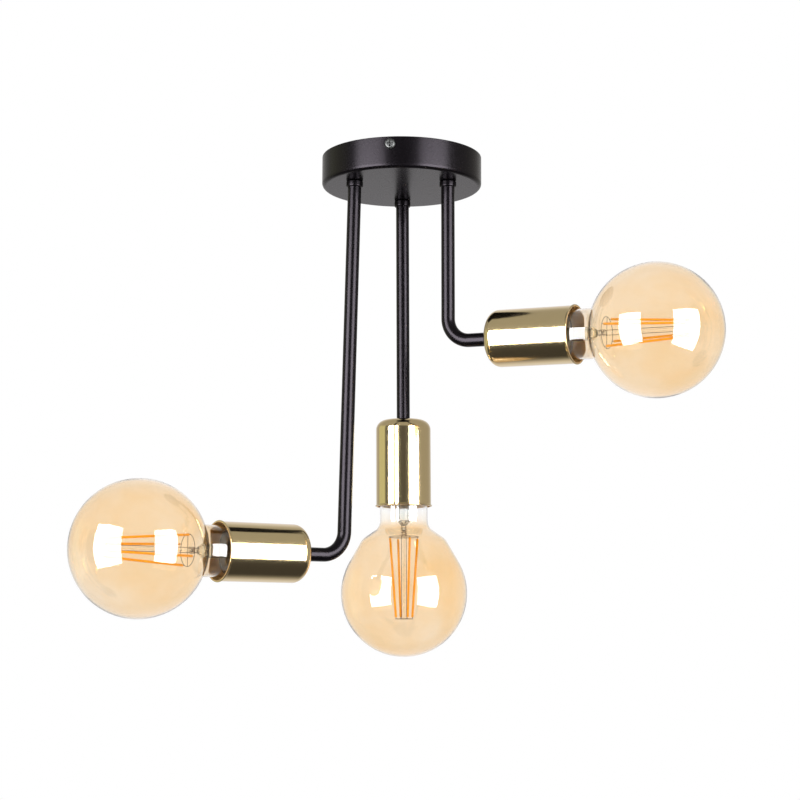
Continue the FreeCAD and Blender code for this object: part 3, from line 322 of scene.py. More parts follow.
def turned(name, vertices, around, closed=True):
    """Turn an outline about Z into a smooth mesh. The attributes 'along' and 'away' keep each
    point's height and its distance from the axis."""
    points = outlined(vertices, closed)
    build = bmesh.new()
    rings = []
    for radius, height in points:
        if radius < ON_AXIS:
            rings.append([build.verts.new((0, 0, height))] * around)
            continue
        rings.append([build.verts.new(place) for place in ring_path(radius, height, around)])
    pairs = list(zip(rings, rings[1:])) + ([(rings[-1], rings[0])] if closed else [])
    for lower, upper in pairs:
        for index in range(around):
            after = (index + 1) % around
            face = dict.fromkeys((lower[index], lower[after], upper[after], upper[index]))
            if len(face) > 2:
                build.faces.new(face)
    bmesh.ops.recalc_face_normals(build, faces=build.faces)
    mesh = plain_mesh(name, build)
    keep_values(mesh, "along", [corner.co.z for corner in mesh.vertices])
    keep_values(mesh, "away", [corner.co.xy.length for corner in mesh.vertices])
    return smoothed(mesh)


def keep_values(mesh, name, values):
    """Give a mesh an attribute with one number for each of its points."""
    mesh.attributes.new(name, "FLOAT", "POINT").data.foreach_set("value", values)


def smoothed(mesh):
    """Shade a mesh smooth, except over its sharp edges."""
    mesh.shade_smooth()
    mesh.set_sharp_from_angle(angle=SHARP_ANGLE)
    return mesh


def piece(name, mesh, body, slot, nodes, matrix=None):
    """Put a mesh in its place with its finish, ride it on its body, and let it replace its nodes."""
    if matrix is not None:
        mesh.transform(matrix)
    mesh.materials.clear()
    mesh.materials.append(finish(slot))
    shown = linked_object(name, mesh)
    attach(shown, body)
    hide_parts(*nodes)


def evaluated(mesh, prepare):
    """Put a mesh on a passing object, let prepare add modifiers, and return the result as a mesh."""
    holder = linked_object("passing", mesh)
    prepare(holder)
    graph = bpy.context.evaluated_depsgraph_get()
    result = bpy.data.meshes.new_from_object(holder.evaluated_get(graph), depsgraph=graph)
    bpy.data.objects.remove(holder)
    return result


def carved(mesh, cutter):
    """Cut one closed mesh out of another."""
    tool = linked_object("tool", cutter)

    def prepare(holder):
        modifier = holder.modifiers.new("cut", "BOOLEAN")
        modifier.object = tool
        modifier.operation = "DIFFERENCE"
        modifier.solver = "EXACT"

    result = evaluated(mesh, prepare)
    bpy.data.objects.remove(tool)
    return smoothed(result)


def edge_mesh(name, paths, closes=False):
    """One mesh of edges from several paths, each a list of points with the bend radius at each."""
    points, edges, bends = [], [], []
    for path in paths:
        first = len(points)
        points += [tuple(point) for point, _ in path]
        bends += [bend for _, bend in path]
        edges += [(index, index + 1) for index in range(first, len(points) - 1)]
        if closes:
            edges.append((len(points) - 1, first))
    mesh = bpy.data.meshes.new(name)
    mesh.from_pydata(points, edges, [])
    keep_values(mesh, "bend", bends)
    return mesh


def sharp(points):
    """A path whose corners stay unbent."""
    return [(point, 0.0) for point in points]


# ---------------------------------------------------------------- node trees

def add_node(tree, kind, sockets=None, **settings):
    """Add a node: settings are its properties, sockets its inputs, as values or as sockets to link."""
    item = tree.nodes.new(kind)
    for key, value in settings.items():
        setattr(item, key, value)
    for key, value in (sockets or {}).items():
        if isinstance(value, bpy.types.NodeSocket):
            tree.links.new(value, item.inputs[key])
        else:
            item.inputs[key].default_value = value
    return item


def new_tree(name, inputs):
    """An empty geometry tree with named inputs. Returns the tree and its input sockets by name."""
    tree = bpy.data.node_groups.new(name, "GeometryNodeTree")
    tree.interface.new_socket("Geometry", in_out="INPUT", socket_type="NodeSocketGeometry")
    for label, kind in inputs:
        tree.interface.new_socket(label, in_out="INPUT", socket_type=f"NodeSocket{kind}")
    tree.interface.new_socket("Geometry", in_out="OUTPUT", socket_type="NodeSocketGeometry")
    entry = add_node(tree, "NodeGroupInput")
    return tree, entry.outputs


def end_tree(tree, geometry, material):
    """Close a tree with Realize Instances and Set Material."""
    real = add_node(tree, "GeometryNodeRealizeInstances", {"Geometry": geometry})
    painted = add_node(tree, "GeometryNodeSetMaterial", {
        "Geometry": real.outputs["Geometry"], "Material": material})
    add_node(tree, "NodeGroupOutput", {"Geometry": painted.outputs["Geometry"]})
    return tree


def grown(mesh, tree, values, wall=0.0):
    """Run a tree on a mesh and return a plain mesh, with a wall to the inside if one is given."""
    def prepare(holder):
        modifier = holder.modifiers.new("tree", "NODES")
        modifier.node_group = tree
        for item in tree.interface.items_tree:
            if item.in_out == "INPUT" and item.name in values:
                modifier[item.identifier] = values[item.name]
        if wall:
            shell = holder.modifiers.new("wall", "SOLIDIFY")
            shell.thickness = wall
            shell.offset = -1.0

    return evaluated(mesh, prepare)


def bar_tree():
    """Round bar that follows a path of edges, each corner bent to the radius in its attribute 'bend'."""
    tree, entry = new_tree("Bar Along a Path", [
        ("Bar Radius", "Float"), ("Bend Steps", "Int"),
        ("Around", "Int"), ("Filled", "Bool"), ("Finish", "Material")])
    path = add_node(tree, "GeometryNodeMeshToCurve", {"Mesh": entry["Geometry"]})
    bend = add_node(tree, "GeometryNodeInputNamedAttribute", {"Name": "bend"}, data_type="FLOAT")
    bent = add_node(tree, "GeometryNodeFilletCurve", {
        "Curve": path.outputs["Curve"], "Count": entry["Bend Steps"],
        "Radius": bend.outputs["Attribute"], "Limit Radius": True}, mode="POLY")
    section = add_node(tree, "GeometryNodeCurvePrimitiveCircle", {
        "Resolution": entry["Around"], "Radius": entry["Bar Radius"]})
    bar = add_node(tree, "GeometryNodeCurveToMesh", {
        "Curve": bent.outputs["Curve"], "Profile Curve": section.outputs["Curve"],
        "Fill Caps": entry["Filled"]})
    return end_tree(tree, bar.outputs["Mesh"], entry["Finish"])


def ring_tree():
    """Copies of the geometry, evenly spaced round its Z axis."""
    tree, entry = new_tree("Copies Round an Axis", [
        ("Count", "Int"), ("First Angle", "Float"), ("Finish", "Material")])
    points = add_node(tree, "GeometryNodePoints", {"Count": entry["Count"]})
    index = add_node(tree, "GeometryNodeInputIndex")
    share = add_node(tree, "ShaderNodeMath", {0: index.outputs["Index"], 1: entry["Count"]},
                     operation="DIVIDE")
    angle = add_node(tree, "ShaderNodeMath", {
        0: share.outputs["Value"], 1: math.tau, 2: entry["First Angle"]}, operation="MULTIPLY_ADD")
    turn = add_node(tree, "ShaderNodeCombineXYZ", {"Z": angle.outputs["Value"]})
    copies = add_node(tree, "GeometryNodeInstanceOnPoints", {
        "Points": points.outputs["Points"], "Instance": entry["Geometry"],
        "Rotation": turn.outputs["Vector"]})
    return end_tree(tree, copies.outputs["Instances"], entry["Finish"])


def fastener_tree():
    """A fastener on each point, its head towards the point's 'facing' vector."""
    tree, entry = new_tree("Fasteners on Points", [("Fastener", "Object"), ("Finish", "Material")])
    model = add_node(tree, "GeometryNodeObjectInfo", {"Object": entry["Fastener"]})
    facing = add_node(tree, "GeometryNodeInputNamedAttribute", {"Name": "facing"},
                      data_type="FLOAT_VECTOR")
    turn = add_node(tree, "FunctionNodeAlignRotationToVector", {"Vector": facing.outputs["Attribute"]},
                    axis="Z")
    copies = add_node(tree, "GeometryNodeInstanceOnPoints", {
        "Points": entry["Geometry"], "Instance": model.outputs["Geometry"],
        "Rotation": turn.outputs["Rotation"]})
    return end_tree(tree, copies.outputs["Instances"], entry["Finish"])


# ---------------------------------------------------------------- finishes

# Sockets of a Mix node that mixes colours: its two colours and the result.
FIRST_COLOUR, SECOND_COLOUR, MIXED_COLOUR = 6, 7, 2


def new_material(name):
    """An empty material and its tree."""
    material = bpy.data.materials.new(name)
    material.use_nodes = True
    material.node_tree.nodes.clear()
    return material, material.node_tree


def end_material(tree, sockets):
    """Close a material with one Principled shader, its inputs given as values or sockets to link."""
    shader = add_node(tree, "ShaderNodeBsdfPrincipled", sockets)
    add_node(tree, "ShaderNodeOutputMaterial", {"Surface": shader.outputs["BSDF"]})


def grain(tree, size, detail=2.0):
    """Noise in object coordinates whose lumps are about as large as size."""
    place = add_node(tree, "ShaderNodeTexCoord")
    noise = add_node(tree, "ShaderNodeTexNoise", {
        "Vector": place.outputs["Object"], "Scale": 1 / size, "Detail": detail})
    return noise.outputs["Fac"]


def grained(tree, clouds, dark, light, lumps, depth, roughness=None):
    """A shader's inputs: the colour runs from dark to light with the clouds. The lumps make a relief
    of a depth and, where a lowest and a highest roughness are given, vary that too."""
    colour = add_node(tree, "ShaderNodeMix", {
        "Factor": clouds, FIRST_COLOUR: (*dark, 1), SECOND_COLOUR: (*light, 1)}, data_type="RGBA")
    relief = add_node(tree, "ShaderNodeBump", {"Height": lumps, "Distance": depth, "Strength": 1.0})
    sockets = {"Base Color": colour.outputs[MIXED_COLOUR], "Normal": relief.outputs["Normal"]}
    if roughness:
        polish = add_node(tree, "ShaderNodeMapRange", {
            "Value": lumps, "To Min": roughness[0], "To Max": roughness[1]})
        sockets["Roughness"] = polish.outputs["Result"]
    return sockets


def shade(colour, share):
    """A colour made darker or lighter."""
    return tuple(part * share for part in colour)


def powder_coat():
    """Polyester powder coat, baked on steel: satin black with a faint violet cast and a fine grain."""
    material, tree = new_material("black_powder_coat")
    base = colours().coat
    clouds, lumps = grain(tree, 14 * MM), grain(tree, 0.9 * MM, detail=3)
    sockets = grained(tree, clouds, shade(base, 0.8), shade(base, 1.2), lumps, 0.015 * MM, (0.2, 0.32))
    end_material(tree, {
        **sockets, "Specular IOR Level": 0.12, "Specular Tint": (*linear("#FBEFFF"), 1)})
    return material


def inside_cup(tree, along):
    """1 on the inner wall of a cup and 0 elsewhere on it."""
    away = add_node(tree, "ShaderNodeAttribute", attribute_name="away")
    outside = sizes().cup_radius - sizes().cup_wall / 4
    inner = add_node(tree, "ShaderNodeMath", {0: away.outputs["Fac"], 1: outside}, operation="LESS_THAN")
    deep = add_node(tree, "ShaderNodeMath", {
        0: along, 1: sizes().cup_end_round}, operation="GREATER_THAN")
    both = add_node(tree, "ShaderNodeMath", {
        0: inner.outputs["Value"], 1: deep.outputs["Value"]}, operation="MULTIPLY")
    return both.outputs["Value"]


def polished_brass():
    """Drawn brass, polished on a lathe and lacquered: near mirror with faint rings round its axis,
    and on its inner wall a painted reflection: light brown, dull and mostly not metal, in place of the
    amber glass it would mirror."""
    material, tree = new_material("polished_brass")
    base = colours().brass
    along = add_node(tree, "ShaderNodeAttribute", attribute_name="along").outputs["Fac"]
    rings = add_node(tree, "ShaderNodeTexNoise", {
        "W": along, "Scale": 1 / (0.5 * MM), "Detail": 3.0}, noise_dimensions="1D")
    sockets = grained(tree, grain(tree, 9 * MM), shade(base, 0.95), base,
                      rings.outputs["Fac"], 0.0006 * MM, (0.09, 0.15))
    inside = inside_cup(tree, along)
    # Painted reflection: the inner wall turns light brown and mostly diffuse, standing in for the amber
    # glass it mirrors.
    brass_and_painted_reflection = add_node(tree, "ShaderNodeMix", {
        "Factor": inside, FIRST_COLOUR: sockets["Base Color"],
        SECOND_COLOUR: (*linear("#E8B878"), 1)}, data_type="RGBA")
    rough = add_node(tree, "ShaderNodeMix", {"Factor": inside, "A": sockets["Roughness"], "B": 0.35})
    bare = add_node(tree, "ShaderNodeMix", {"Factor": inside, "A": 1.0, "B": 0.15})
    waved = add_node(tree, "ShaderNodeBump", {
        "Height": grain(tree, 7 * MM, detail=1.0), "Distance": 0.02 * MM, "Normal": sockets["Normal"]})
    end_material(tree, {
        "Base Color": brass_and_painted_reflection.outputs[MIXED_COLOUR], "Roughness": rough.outputs["Result"],
        "Metallic": bare.outputs["Result"], "Normal": waved.outputs["Normal"]})
    return material


def plated_metal(name, code, roughness, grain_size):
    """Plated metal: even, with a soft sheen that its grain breaks up."""
    material, tree = new_material(name)
    base, lumps = linear(code), grain(tree, grain_size, detail=4)
    sockets = grained(tree, lumps, shade(base, 0.82), base, lumps, 0.01 * MM,
                      (roughness * 0.7, roughness * 1.3))
    end_material(tree, {**sockets, "Metallic": 1.0})
    return material


def moulded_plastic(name, code, roughness):
    """Moulded or extruded plastic: one colour through, with the fine skin of its tool."""
    material, tree = new_material(name)
    base, clouds, skin = linear(code), grain(tree, 6 * MM), grain(tree, 0.7 * MM, detail=3)
    end_material(tree, grained(tree, clouds, shade(base, 0.88), base, skin, 0.02 * MM,
                               (roughness * 0.85, roughness * 1.15)))
    return material


def striped_insulation():
    """Green and yellow earth insulation: extruded PVC with its yellow on the upper half."""
    material, tree = new_material("green_yellow_pvc")
    surface = add_node(tree, "ShaderNodeNewGeometry")
    parts = add_node(tree, "ShaderNodeSeparateXYZ", {"Vector": surface.outputs["Normal"]})
    upper = add_node(tree, "ShaderNodeMath", {0: parts.outputs["Z"], 1: 0.35}, operation="GREATER_THAN")
    end_material(tree, grained(tree, upper.outputs["Value"], linear("#3E8A35"), linear("#E3C92E"),
                               grain(tree, 0.7 * MM, detail=3), 0.02 * MM, (0.34, 0.46)))
    return material


def amber_glass():
    """Soda-lime glass, blown: clear at the neck and lacquered amber, a little unevenly, over the
    globe, with the slow waves of blown glass."""
    material, tree = new_material("amber_glass")
    tinted = add_node(tree, "ShaderNodeAttribute", attribute_name="tinted")
    uneven = add_node(tree, "ShaderNodeMapRange", {
        "Value": grain(tree, 45 * MM, detail=3), "To Min": 0.2, "To Max": 1.25})
    amount = add_node(tree, "ShaderNodeMath", {
        0: tinted.outputs["Fac"], 1: uneven.outputs["Result"]}, operation="MULTIPLY")
    sockets = grained(tree, amount.outputs["Value"], (1, 1, 1), colours().amber,
                      grain(tree, 18 * MM, detail=0.0), 0.1 * MM)
    end_material(tree, {**sockets, "Roughness": 0.0, "Transmission Weight": 1.0, "IOR": 1.5})
    return material


def stem_glass():
    """Lead glass tube, drawn and pinched: clear, with soft draw lines."""
    material, tree = new_material("stem_glass")
    lines = grain(tree, 2.5 * MM, detail=1.0)
    sockets = grained(tree, lines, linear("#F3F7F4"), linear("#FFFFFF"), lines, 0.15 * MM)
    end_material(tree, {**sockets, "Roughness": 0.02, "Transmission Weight": 1.0, "IOR": 1.56})
    return material


def filament_coat():
    """Silicone with phosphor over a row of tiny lamps: opaque orange with a fine ripple."""
    material, tree = new_material("filament_coat")
    base, ripple = colours().filament, grain(tree, 1.3 * MM)
    sockets = grained(tree, ripple, shade(base, 0.88), base, ripple, 0.05 * MM)
    end_material(tree, {**sockets, "Roughness": 0.5, "Specular IOR Level": 0.2})
    return material


# The finish of each slot of the record.
FINISHES = {
    "black_enamel": powder_coat,
    "polished_brass": polished_brass,
    "amber_glass": amber_glass,
    "clear_glass": stem_glass,
    "amber_silicone": filament_coat,
    "green_pvc": striped_insulation,
    # Rolled brass, bare: warm, and shining softly.
    "plain_brass": lambda: plated_metal("rolled_brass", "#CDB06C", 0.3, 1.5 * MM),
    # Zinc on steel, barrel plated: pale, cool and slightly cloudy.
    "zinc_steel": lambda: plated_metal("zinc_plate", "#AEB1B4", 0.34, 2.2 * MM),
    # Dark nickel on steel: grey and dull, so that the screws stand out little.
    "nickel_steel": lambda: plated_metal("nickel_plate_steel", "#454646", 0.45, 1.2 * MM),
    # Nickel on brass, bright: a warm silver that mirrors broadly.
    "nickel_cap": lambda: plated_metal("nickel_plate_brass", "#C6C2BA", 0.22, 1.6 * MM),
    # Nickel wire, annealed: brownish from the heat.
    "nickel_wire": lambda: plated_metal("annealed_nickel", "#75604C", 0.35, 0.8 * MM),
    # Phenolic, press moulded: nearly black with a dull skin.
    "black_phenolic": lambda: moulded_plastic("black_phenolic", "#1F1E1E", 0.45),
    # Nylon, injection moulded: milky white and satin.
    "white_nylon": lambda: moulded_plastic("white_nylon", "#E6E4DC", 0.5),
    # PVC, extruded round wires: even colours with a soft shine.
    "brown_pvc": lambda: moulded_plastic("brown_pvc", "#6E4630", 0.4),
    "blue_pvc": lambda: moulded_plastic("blue_pvc", "#2F62B4", 0.4),
    "white_pvc": lambda: moulded_plastic("white_pvc", "#E9E8E4", 0.42),
    # Glassy insulator of a bulb's cap, melted into place: black and smooth.
    "black_vitrite": lambda: moulded_plastic("black_vitrite", "#17171A", 0.15),
}
made_finishes = {}


def finish(slot):
    """The material of a record's slot, made once."""
    if slot not in made_finishes:
        made_finishes[slot] = FINISHES[slot]()
    return made_finishes[slot]


# ---------------------------------------------------------------- canopy

def drilled_cutter(holes):
    """Closed rods for cutting holes, each from its middle, axis, radius and length."""
    build = bmesh.new()
    for middle, axis, radius, length in holes:
        turn = axis.to_track_quat("Z", "Y").to_matrix().to_4x4()
        bmesh.ops.create_cone(build, cap_ends=True, segments=48, radius1=radius, radius2=radius,
                              depth=length, matrix=Matrix.Translation(middle) @ turn)
    return plain_mesh("holes", build)


def make_cover():
    """Pressed steel cover, drilled for the three tubes and for a screw on each side."""
    low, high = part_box("canopy_cover")
    radius, height = (high.x - low.x) / 2, high.z - low.z
    sheet, bend = sizes().canopy_sheet, sizes().canopy_edge
    rim_round = 0.35 * MM
    shell = turned("cover", [
        (radius, -rim_round),
        (radius - rim_round, 0, rim_round, 1),
        (radius - sheet + rim_round, 0),
        (radius - sheet, -rim_round, rim_round, 1),
        (radius - sheet, -height + bend),
        (radius - bend, -height + sheet, bend - sheet, -1),
        (0, -height + sheet),
        (0, -height),
        (radius - bend, -height),
        (radius, -height + bend, bend, 1),
    ], around=256)
    hole_gap, screw_hole = 0.1 * MM, 2.2 * MM
    holes = [(tube_axis(side), UP, sizes().tube_radius + hole_gap, 4 * height) for side in SIDES]
    screw_low, screw_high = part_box("cover_screws")
    screw_height = (screw_low.z + screw_high.z) / 2
    holes.append((Vector((0, 0, screw_height)), Vector((0, 1, 0)), screw_hole, 4 * radius))
    mesh = carved(shell, drilled_cutter(holes))
    piece("canopy_shell", mesh, "root", "black_enamel", ["canopy_cover"])


def cross_recess(length, width, depth, top):
    """Closed cross for cutting a recess down from a height."""
    long, short = length / 2, width / 2
    ring = []
    for quarter in range(4):
        turn = Matrix.Rotation(quarter * math.pi / 2, 2)
        ring += [turn @ Vector(place) for place in ((long, short), (short, short), (short, long))]
    build = bmesh.new()
    face = build.faces.new([build.verts.new((*place, top - depth)) for place in ring])
    bmesh.ops.extrude_face_region(build, geom=[face])
    for corner in build.verts:
        if corner not in face.verts:
            corner.co.z = top + depth
    bmesh.ops.recalc_face_normals(build, faces=build.faces)
    return plain_mesh("cross", build)


def screw_model():
    """Pan head screw with a cross recess, head up from z = 0."""
    low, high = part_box("cover_screws")
    head = (high.z - low.z) / 2
    rise, edge, shank, length = 2.4 * MM, 1.6 * MM, 1.95 * MM, 8 * MM
    tip = 0.4 * MM
    solid = turned("screw", [
        (0, -length), (shank - tip, -length), (shank, tip - length), (shank, 0),
        (head, 0), (head, rise - edge), (head - edge, rise, edge, 1), (0, rise),
    ], around=64, closed=False)
    return carved(solid, cross_recess(length=4.6 * MM, width=0.9 * MM, depth=1.3 * MM, top=rise))


def make_screws():
    """One screw on each side of the canopy, laid out by the fastener tree."""
    low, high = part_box("cover_screws")
    cover_low, cover_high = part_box("canopy_cover")
    height = (low.z + high.z) / 2
    places = bpy.data.meshes.new("screw_places")
    places.from_pydata([(0, cover_low.y, height), (0, cover_high.y, height)], [], [])
    facing = places.attributes.new("facing", "FLOAT_VECTOR", "POINT")
    facing.data.foreach_set("vector", (0, -1, 0, 0, 1, 0))
    model = linked_object("screw_model", screw_model())
    mesh = grown(places, fastener_tree(), {"Fastener": model, "Finish": finish("nickel_steel")})
    bpy.data.objects.remove(model)
    piece("canopy_screws", smoothed(mesh), "root", "nickel_steel", ["cover_screws"])


# ---------------------------------------------------------------- arms

def make_collar(side):
    """Rounded collar screwed up against the canopy."""
    low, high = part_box(f"{side}_collar")
    radius, height = (high.x - low.x) / 2, high.z - low.z
    bore = sizes().tube_radius + sizes().thread_gap
    bend = 1.0 * MM
    mesh = turned("collar", [
        (bore, 0), (radius - bend, 0), (radius, bend, bend, 1),
        (radius, height - bend), (radius - bend, height, bend, 1), (bore, height),
    ], around=72)
    place = Matrix.Translation(tube_axis(side) + Vector((0, 0, low.z)))
    piece(f"{side}_tube_collar", mesh, arm_body(side), "black_enamel", [f"{side}_collar"], place)


def elbow_corner(side, leaning):
    """Where the straight of an arm that starts at the point leaning meets the bulb's axis."""
    way, middle = heading(side), globe_middle(side)
    outwards = Vector((way.x, way.y, 0)).normalized()
    lean = math.tan(way.angle(-UP) - sizes().elbow_turn)
    offset = middle - leaning
    back = (offset.dot(outwards) + offset.z * lean) / (way.dot(outwards) + way.z * lean)
    return middle - way * back


def tube_path(side):
    """Centre line of a tube, with a point just past each end of the elbow to keep the runs straight."""
    start = tube_axis(side)
    start.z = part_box(f"{side}_tube")[1].z
    leaning = tube_axis(side)
    leaning.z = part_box(f"{side}_collar")[0].z
    end = bulb_frame(side) @ Vector((0, 0, reach(f"{side}_tube", side)[0]))
    lean = sizes().lean_radius
    if side == "centre":
        return [(start, 0.0), (leaning, lean), (end, 0.0)]
    corner = elbow_corner(side, leaning)
    turn, bend, spare = (corner - leaning).angle(end - corner), sizes().elbow_radius, 1.5 * MM
    past_bend = bend * math.tan(turn / 2) + spare
    before = corner + (leaning - corner).normalized() * past_bend
    after = corner + (end - corner).normalized() * past_bend
    return [(start, 0.0), (leaning, lean), (before, 0.0), (corner, bend), (after, 0.0), (end, 0.0)]


def make_tube(side):
    """Bent steel tube with open ends, swept along its centre line."""
    mesh = grown(edge_mesh("tube_path", [tube_path(side)]), bar_tree(), {
        "Bar Radius": sizes().tube_radius, "Bend Steps": 32,
        "Around": 80, "Filled": False, "Finish": finish("black_enamel")}, wall=sizes().tube_wall)
    piece(f"{side}_bent_tube", smoothed(mesh), arm_body(side), "black_enamel", [f"{side}_tube"])


def make_cup(side):
    """Drawn and turned cup with a rounded closed end and a rolled lip."""
    size = sizes()
    low, high = reach(f"{side}_cup", side)
    length = high - low
    outer, wall, floor, bend = size.cup_radius, size.cup_wall, size.cup_floor, size.cup_end_round
    hole = size.tube_radius + size.thread_gap
    lip_top, lip = length - size.cup_lip_height, size.cup_lip_height / 2
    proud = outer + size.cup_lip_width
    neck, neck_out, mouth = 0.5 * MM, 0.3 * MM, 0.3 * MM
    mesh = turned("cup", [
        (hole, 0),
        (outer - bend, 0),
        (outer, bend, bend, 1),
        (outer, lip_top - neck),
        (outer + neck_out, lip_top, neck, -1),
        (proud - lip, lip_top),
        (proud, length - lip, lip, 1),
        (proud - lip, length, lip, 1),
        (outer - wall + mouth, length),
        (outer - wall, length - mouth, mouth, 1),
        (outer - wall, floor + bend - wall),
        (outer - bend, floor, bend - wall, -1),
        (hole, floor),
    ], around=192)
    place = bulb_frame(side) @ Matrix.Translation((0, 0, high)) @ Matrix.Rotation(math.pi, 4, "X")
    piece(f"{side}_brass_cup", mesh, arm_body(side), "polished_brass", [f"{side}_cup"], place)


# ---------------------------------------------------------------- bulbs

def shouldered_globe():
    """Outline of the centre bulb from globe to neck, outside and inside: cone, shoulder and flare."""
    size = sizes()
    globe, wall = size.globe_radius, size.glass_wall
    cone, slope = size.globe_cone_angle, size.neck_slope_angle
    shoulder, flare, neck = size.shoulder_round, size.neck_flare_radius, size.neck_radius
    rise = size.shoulder_height - globe * math.cos(cone)
    corner_radius = globe * math.sin(cone) - rise / math.tan(cone)
    cut = shoulder * math.tan((slope - math.pi / 2 + cone) / 2)
    drop = corner_radius - neck - flare + flare * math.cos(slope)
    middle = size.shoulder_height + drop / math.tan(slope) + flare * math.sin(slope)
    start = (corner_radius + cut * math.cos(cone), size.shoulder_height - cut * math.sin(cone))
    end = (corner_radius - cut * math.sin(slope), size.shoulder_height + cut * math.cos(slope))
    outside = [
        (globe * math.sin(cone), globe * math.cos(cone), globe, 1),
        start,
        (*end, shoulder, 1),
        (neck + flare - flare * math.cos(slope), middle - flare * math.sin(slope)),
        (neck, middle, flare, -1),
    ]
    inside = [
        (neck - wall, middle),
        (neck + flare - (flare + wall) * math.cos(slope), middle - (flare + wall) * math.sin(slope),
         flare + wall, 1),
        (end[0] - wall * math.cos(slope), end[1] - wall * math.sin(slope)),
        (start[0] - wall * math.sin(cone), start[1] - wall * math.cos(cone), shoulder - wall, -1),
        ((globe - wall) * math.sin(cone), (globe - wall) * math.cos(cone)),
    ]
    return outside, inside


def round_globe():
    """The same for the arms' bulbs: the globe stays round, and one small round meets the neck."""
    size = sizes()
    globe, wall = size.globe_radius, size.glass_wall
    flare, neck = size.arm_flare_radius, size.neck_radius
    reach_out, across = globe + flare, neck + flare
    middle = math.sqrt(reach_out ** 2 - across ** 2)
    outside = [
        (across * globe / reach_out, middle * globe / reach_out, globe, 1),
        (neck, middle, flare, -1),
    ]
    inside = [
        (neck - wall, middle),
        (across * (globe - wall) / reach_out, middle * (globe - wall) / reach_out, flare + wall, 1),
    ]
    return outside, inside


def glass_profile(side):
    """Outside and inside of the glass, from the globe's end to the cap and back."""
    size = sizes()
    globe, wall = size.globe_radius, size.glass_wall
    neck, mouth = size.neck_radius, size.glass_end_radius
    outside, inside = shouldered_globe() if side == "centre" else round_globe()
    glass_end, cap_edge = reach(f"{side}_bulb_glass", side)[1], reach(f"{side}_bulb_cap", side)[0]
    neck_end = cap_edge - size.neck_taper
    step = neck - mouth
    end_round = (step ** 2 + size.neck_taper ** 2) / (2 * step)
    return [
        (0, -globe),
        *outside,
        (neck, neck_end),
        (mouth, cap_edge, end_round, 1),
        (mouth, glass_end),
        (mouth - wall, glass_end),
        (mouth - wall, cap_edge),
        (neck - wall, neck_end, end_round - wall, -1),
        *inside,
        (0, wall - globe, globe - wall, -1),
    ]


def make_glass(side):
    """Blown bulb glass. Its attribute 'tinted' runs from 0 on the clear neck to 1 on the globe."""
    mesh = turned("glass", glass_profile(side), around=192, closed=False)
    clear = reach(f"{side}_bulb_glass", side)[1] - sizes().clear_neck
    shares = [min(max((clear - corner.co.z) / sizes().tint_fade, 0), 1) for corner in mesh.vertices]
    keep_values(mesh, "tinted", [share * share * (3 - 2 * share) for share in shares])
    piece(f"{side}_globe", mesh, f"{side}_bulb", "amber_glass", [f"{side}_bulb_glass"], bulb_frame(side))


def stem_end(side):
    """Where the glass stem ends in the globe, along the bulb's axis."""
    return reach(f"{side}_bulb_stem", side)[0]


def make_stem(side):
    """Glass stem: flange, tube, a cone down to the pinch, and the rod that carries the filaments."""
    size = sizes()
    radius, wall, clearance = size.stem_radius, size.stem_wall, 0.4 * MM
    pinch, top = stem_end(side), reach(f"{side}_bulb_stem", side)[1]
    flange = size.glass_end_radius - size.glass_wall - clearance
    bend = flange - radius
    press, rod, rod_end = 1.9 * MM, 0.9 * MM, pinch - size.far_drop + clearance
    rod_root, press_half, cone_top = pinch - 3 * MM, 1 * MM, pinch + 5 * MM
    bore_end, bore_tip = pinch + 5.5 * MM, pinch + 2.5 * MM
    mesh = turned("stem", [
        (0, rod_end - rod), (rod, rod_end, rod, 1),
        (rod, rod_root), (press, pinch - press_half),
        (press, pinch + press_half), (radius, cone_top),
        (radius, top - bend), (flange, top, bend, -1),
        (flange - wall, top), (radius - wall, top - bend, bend, 1),
        (radius - wall, bore_end), (0, bore_tip),
    ], around=64, closed=False)
    piece(f"{side}_glass_stem", mesh, f"{side}_bulb", "clear_glass", [f"{side}_bulb_stem"],
          bulb_frame(side))


def filament_ends(side):
    """Near and far end of a filament's coating, in the plane y = 0 of the bulb's frame."""
    size = sizes()
    near = Vector((size.near_radius, 0, stem_end(side) - size.near_drop))
    far = Vector((size.far_radius, 0, stem_end(side) - size.far_drop))
    tab = (near - far).normalized() * size.filament_tab
    return near - tab, far + tab


def make_filaments(side):
    """Coated filaments, copied round the bulb's axis by the ring tree."""
    size = sizes()
    model = grown(edge_mesh("filament", [sharp(filament_ends(side))]), bar_tree(), {
        "Bar Radius": size.filament_radius, "Bend Steps": 1,
        "Around": 20, "Filled": True, "Finish": finish("amber_silicone")})
    mesh = grown(model, ring_tree(), {
        "Count": size.filament_count, "First Angle": size.filament_turn,
        "Finish": finish("amber_silicone")})
    piece(f"{side}_filament_set", smoothed(mesh), f"{side}_bulb", "amber_silicone",
          [f"{side}_bulb_filaments"], bulb_frame(side))


def wire_heights(side):
    """Heights of the ring at the stem and of the ring in the globe."""
    size, end = sizes(), stem_end(side)
    return end - size.near_drop + size.wire_radius, end - size.far_drop - size.wire_radius


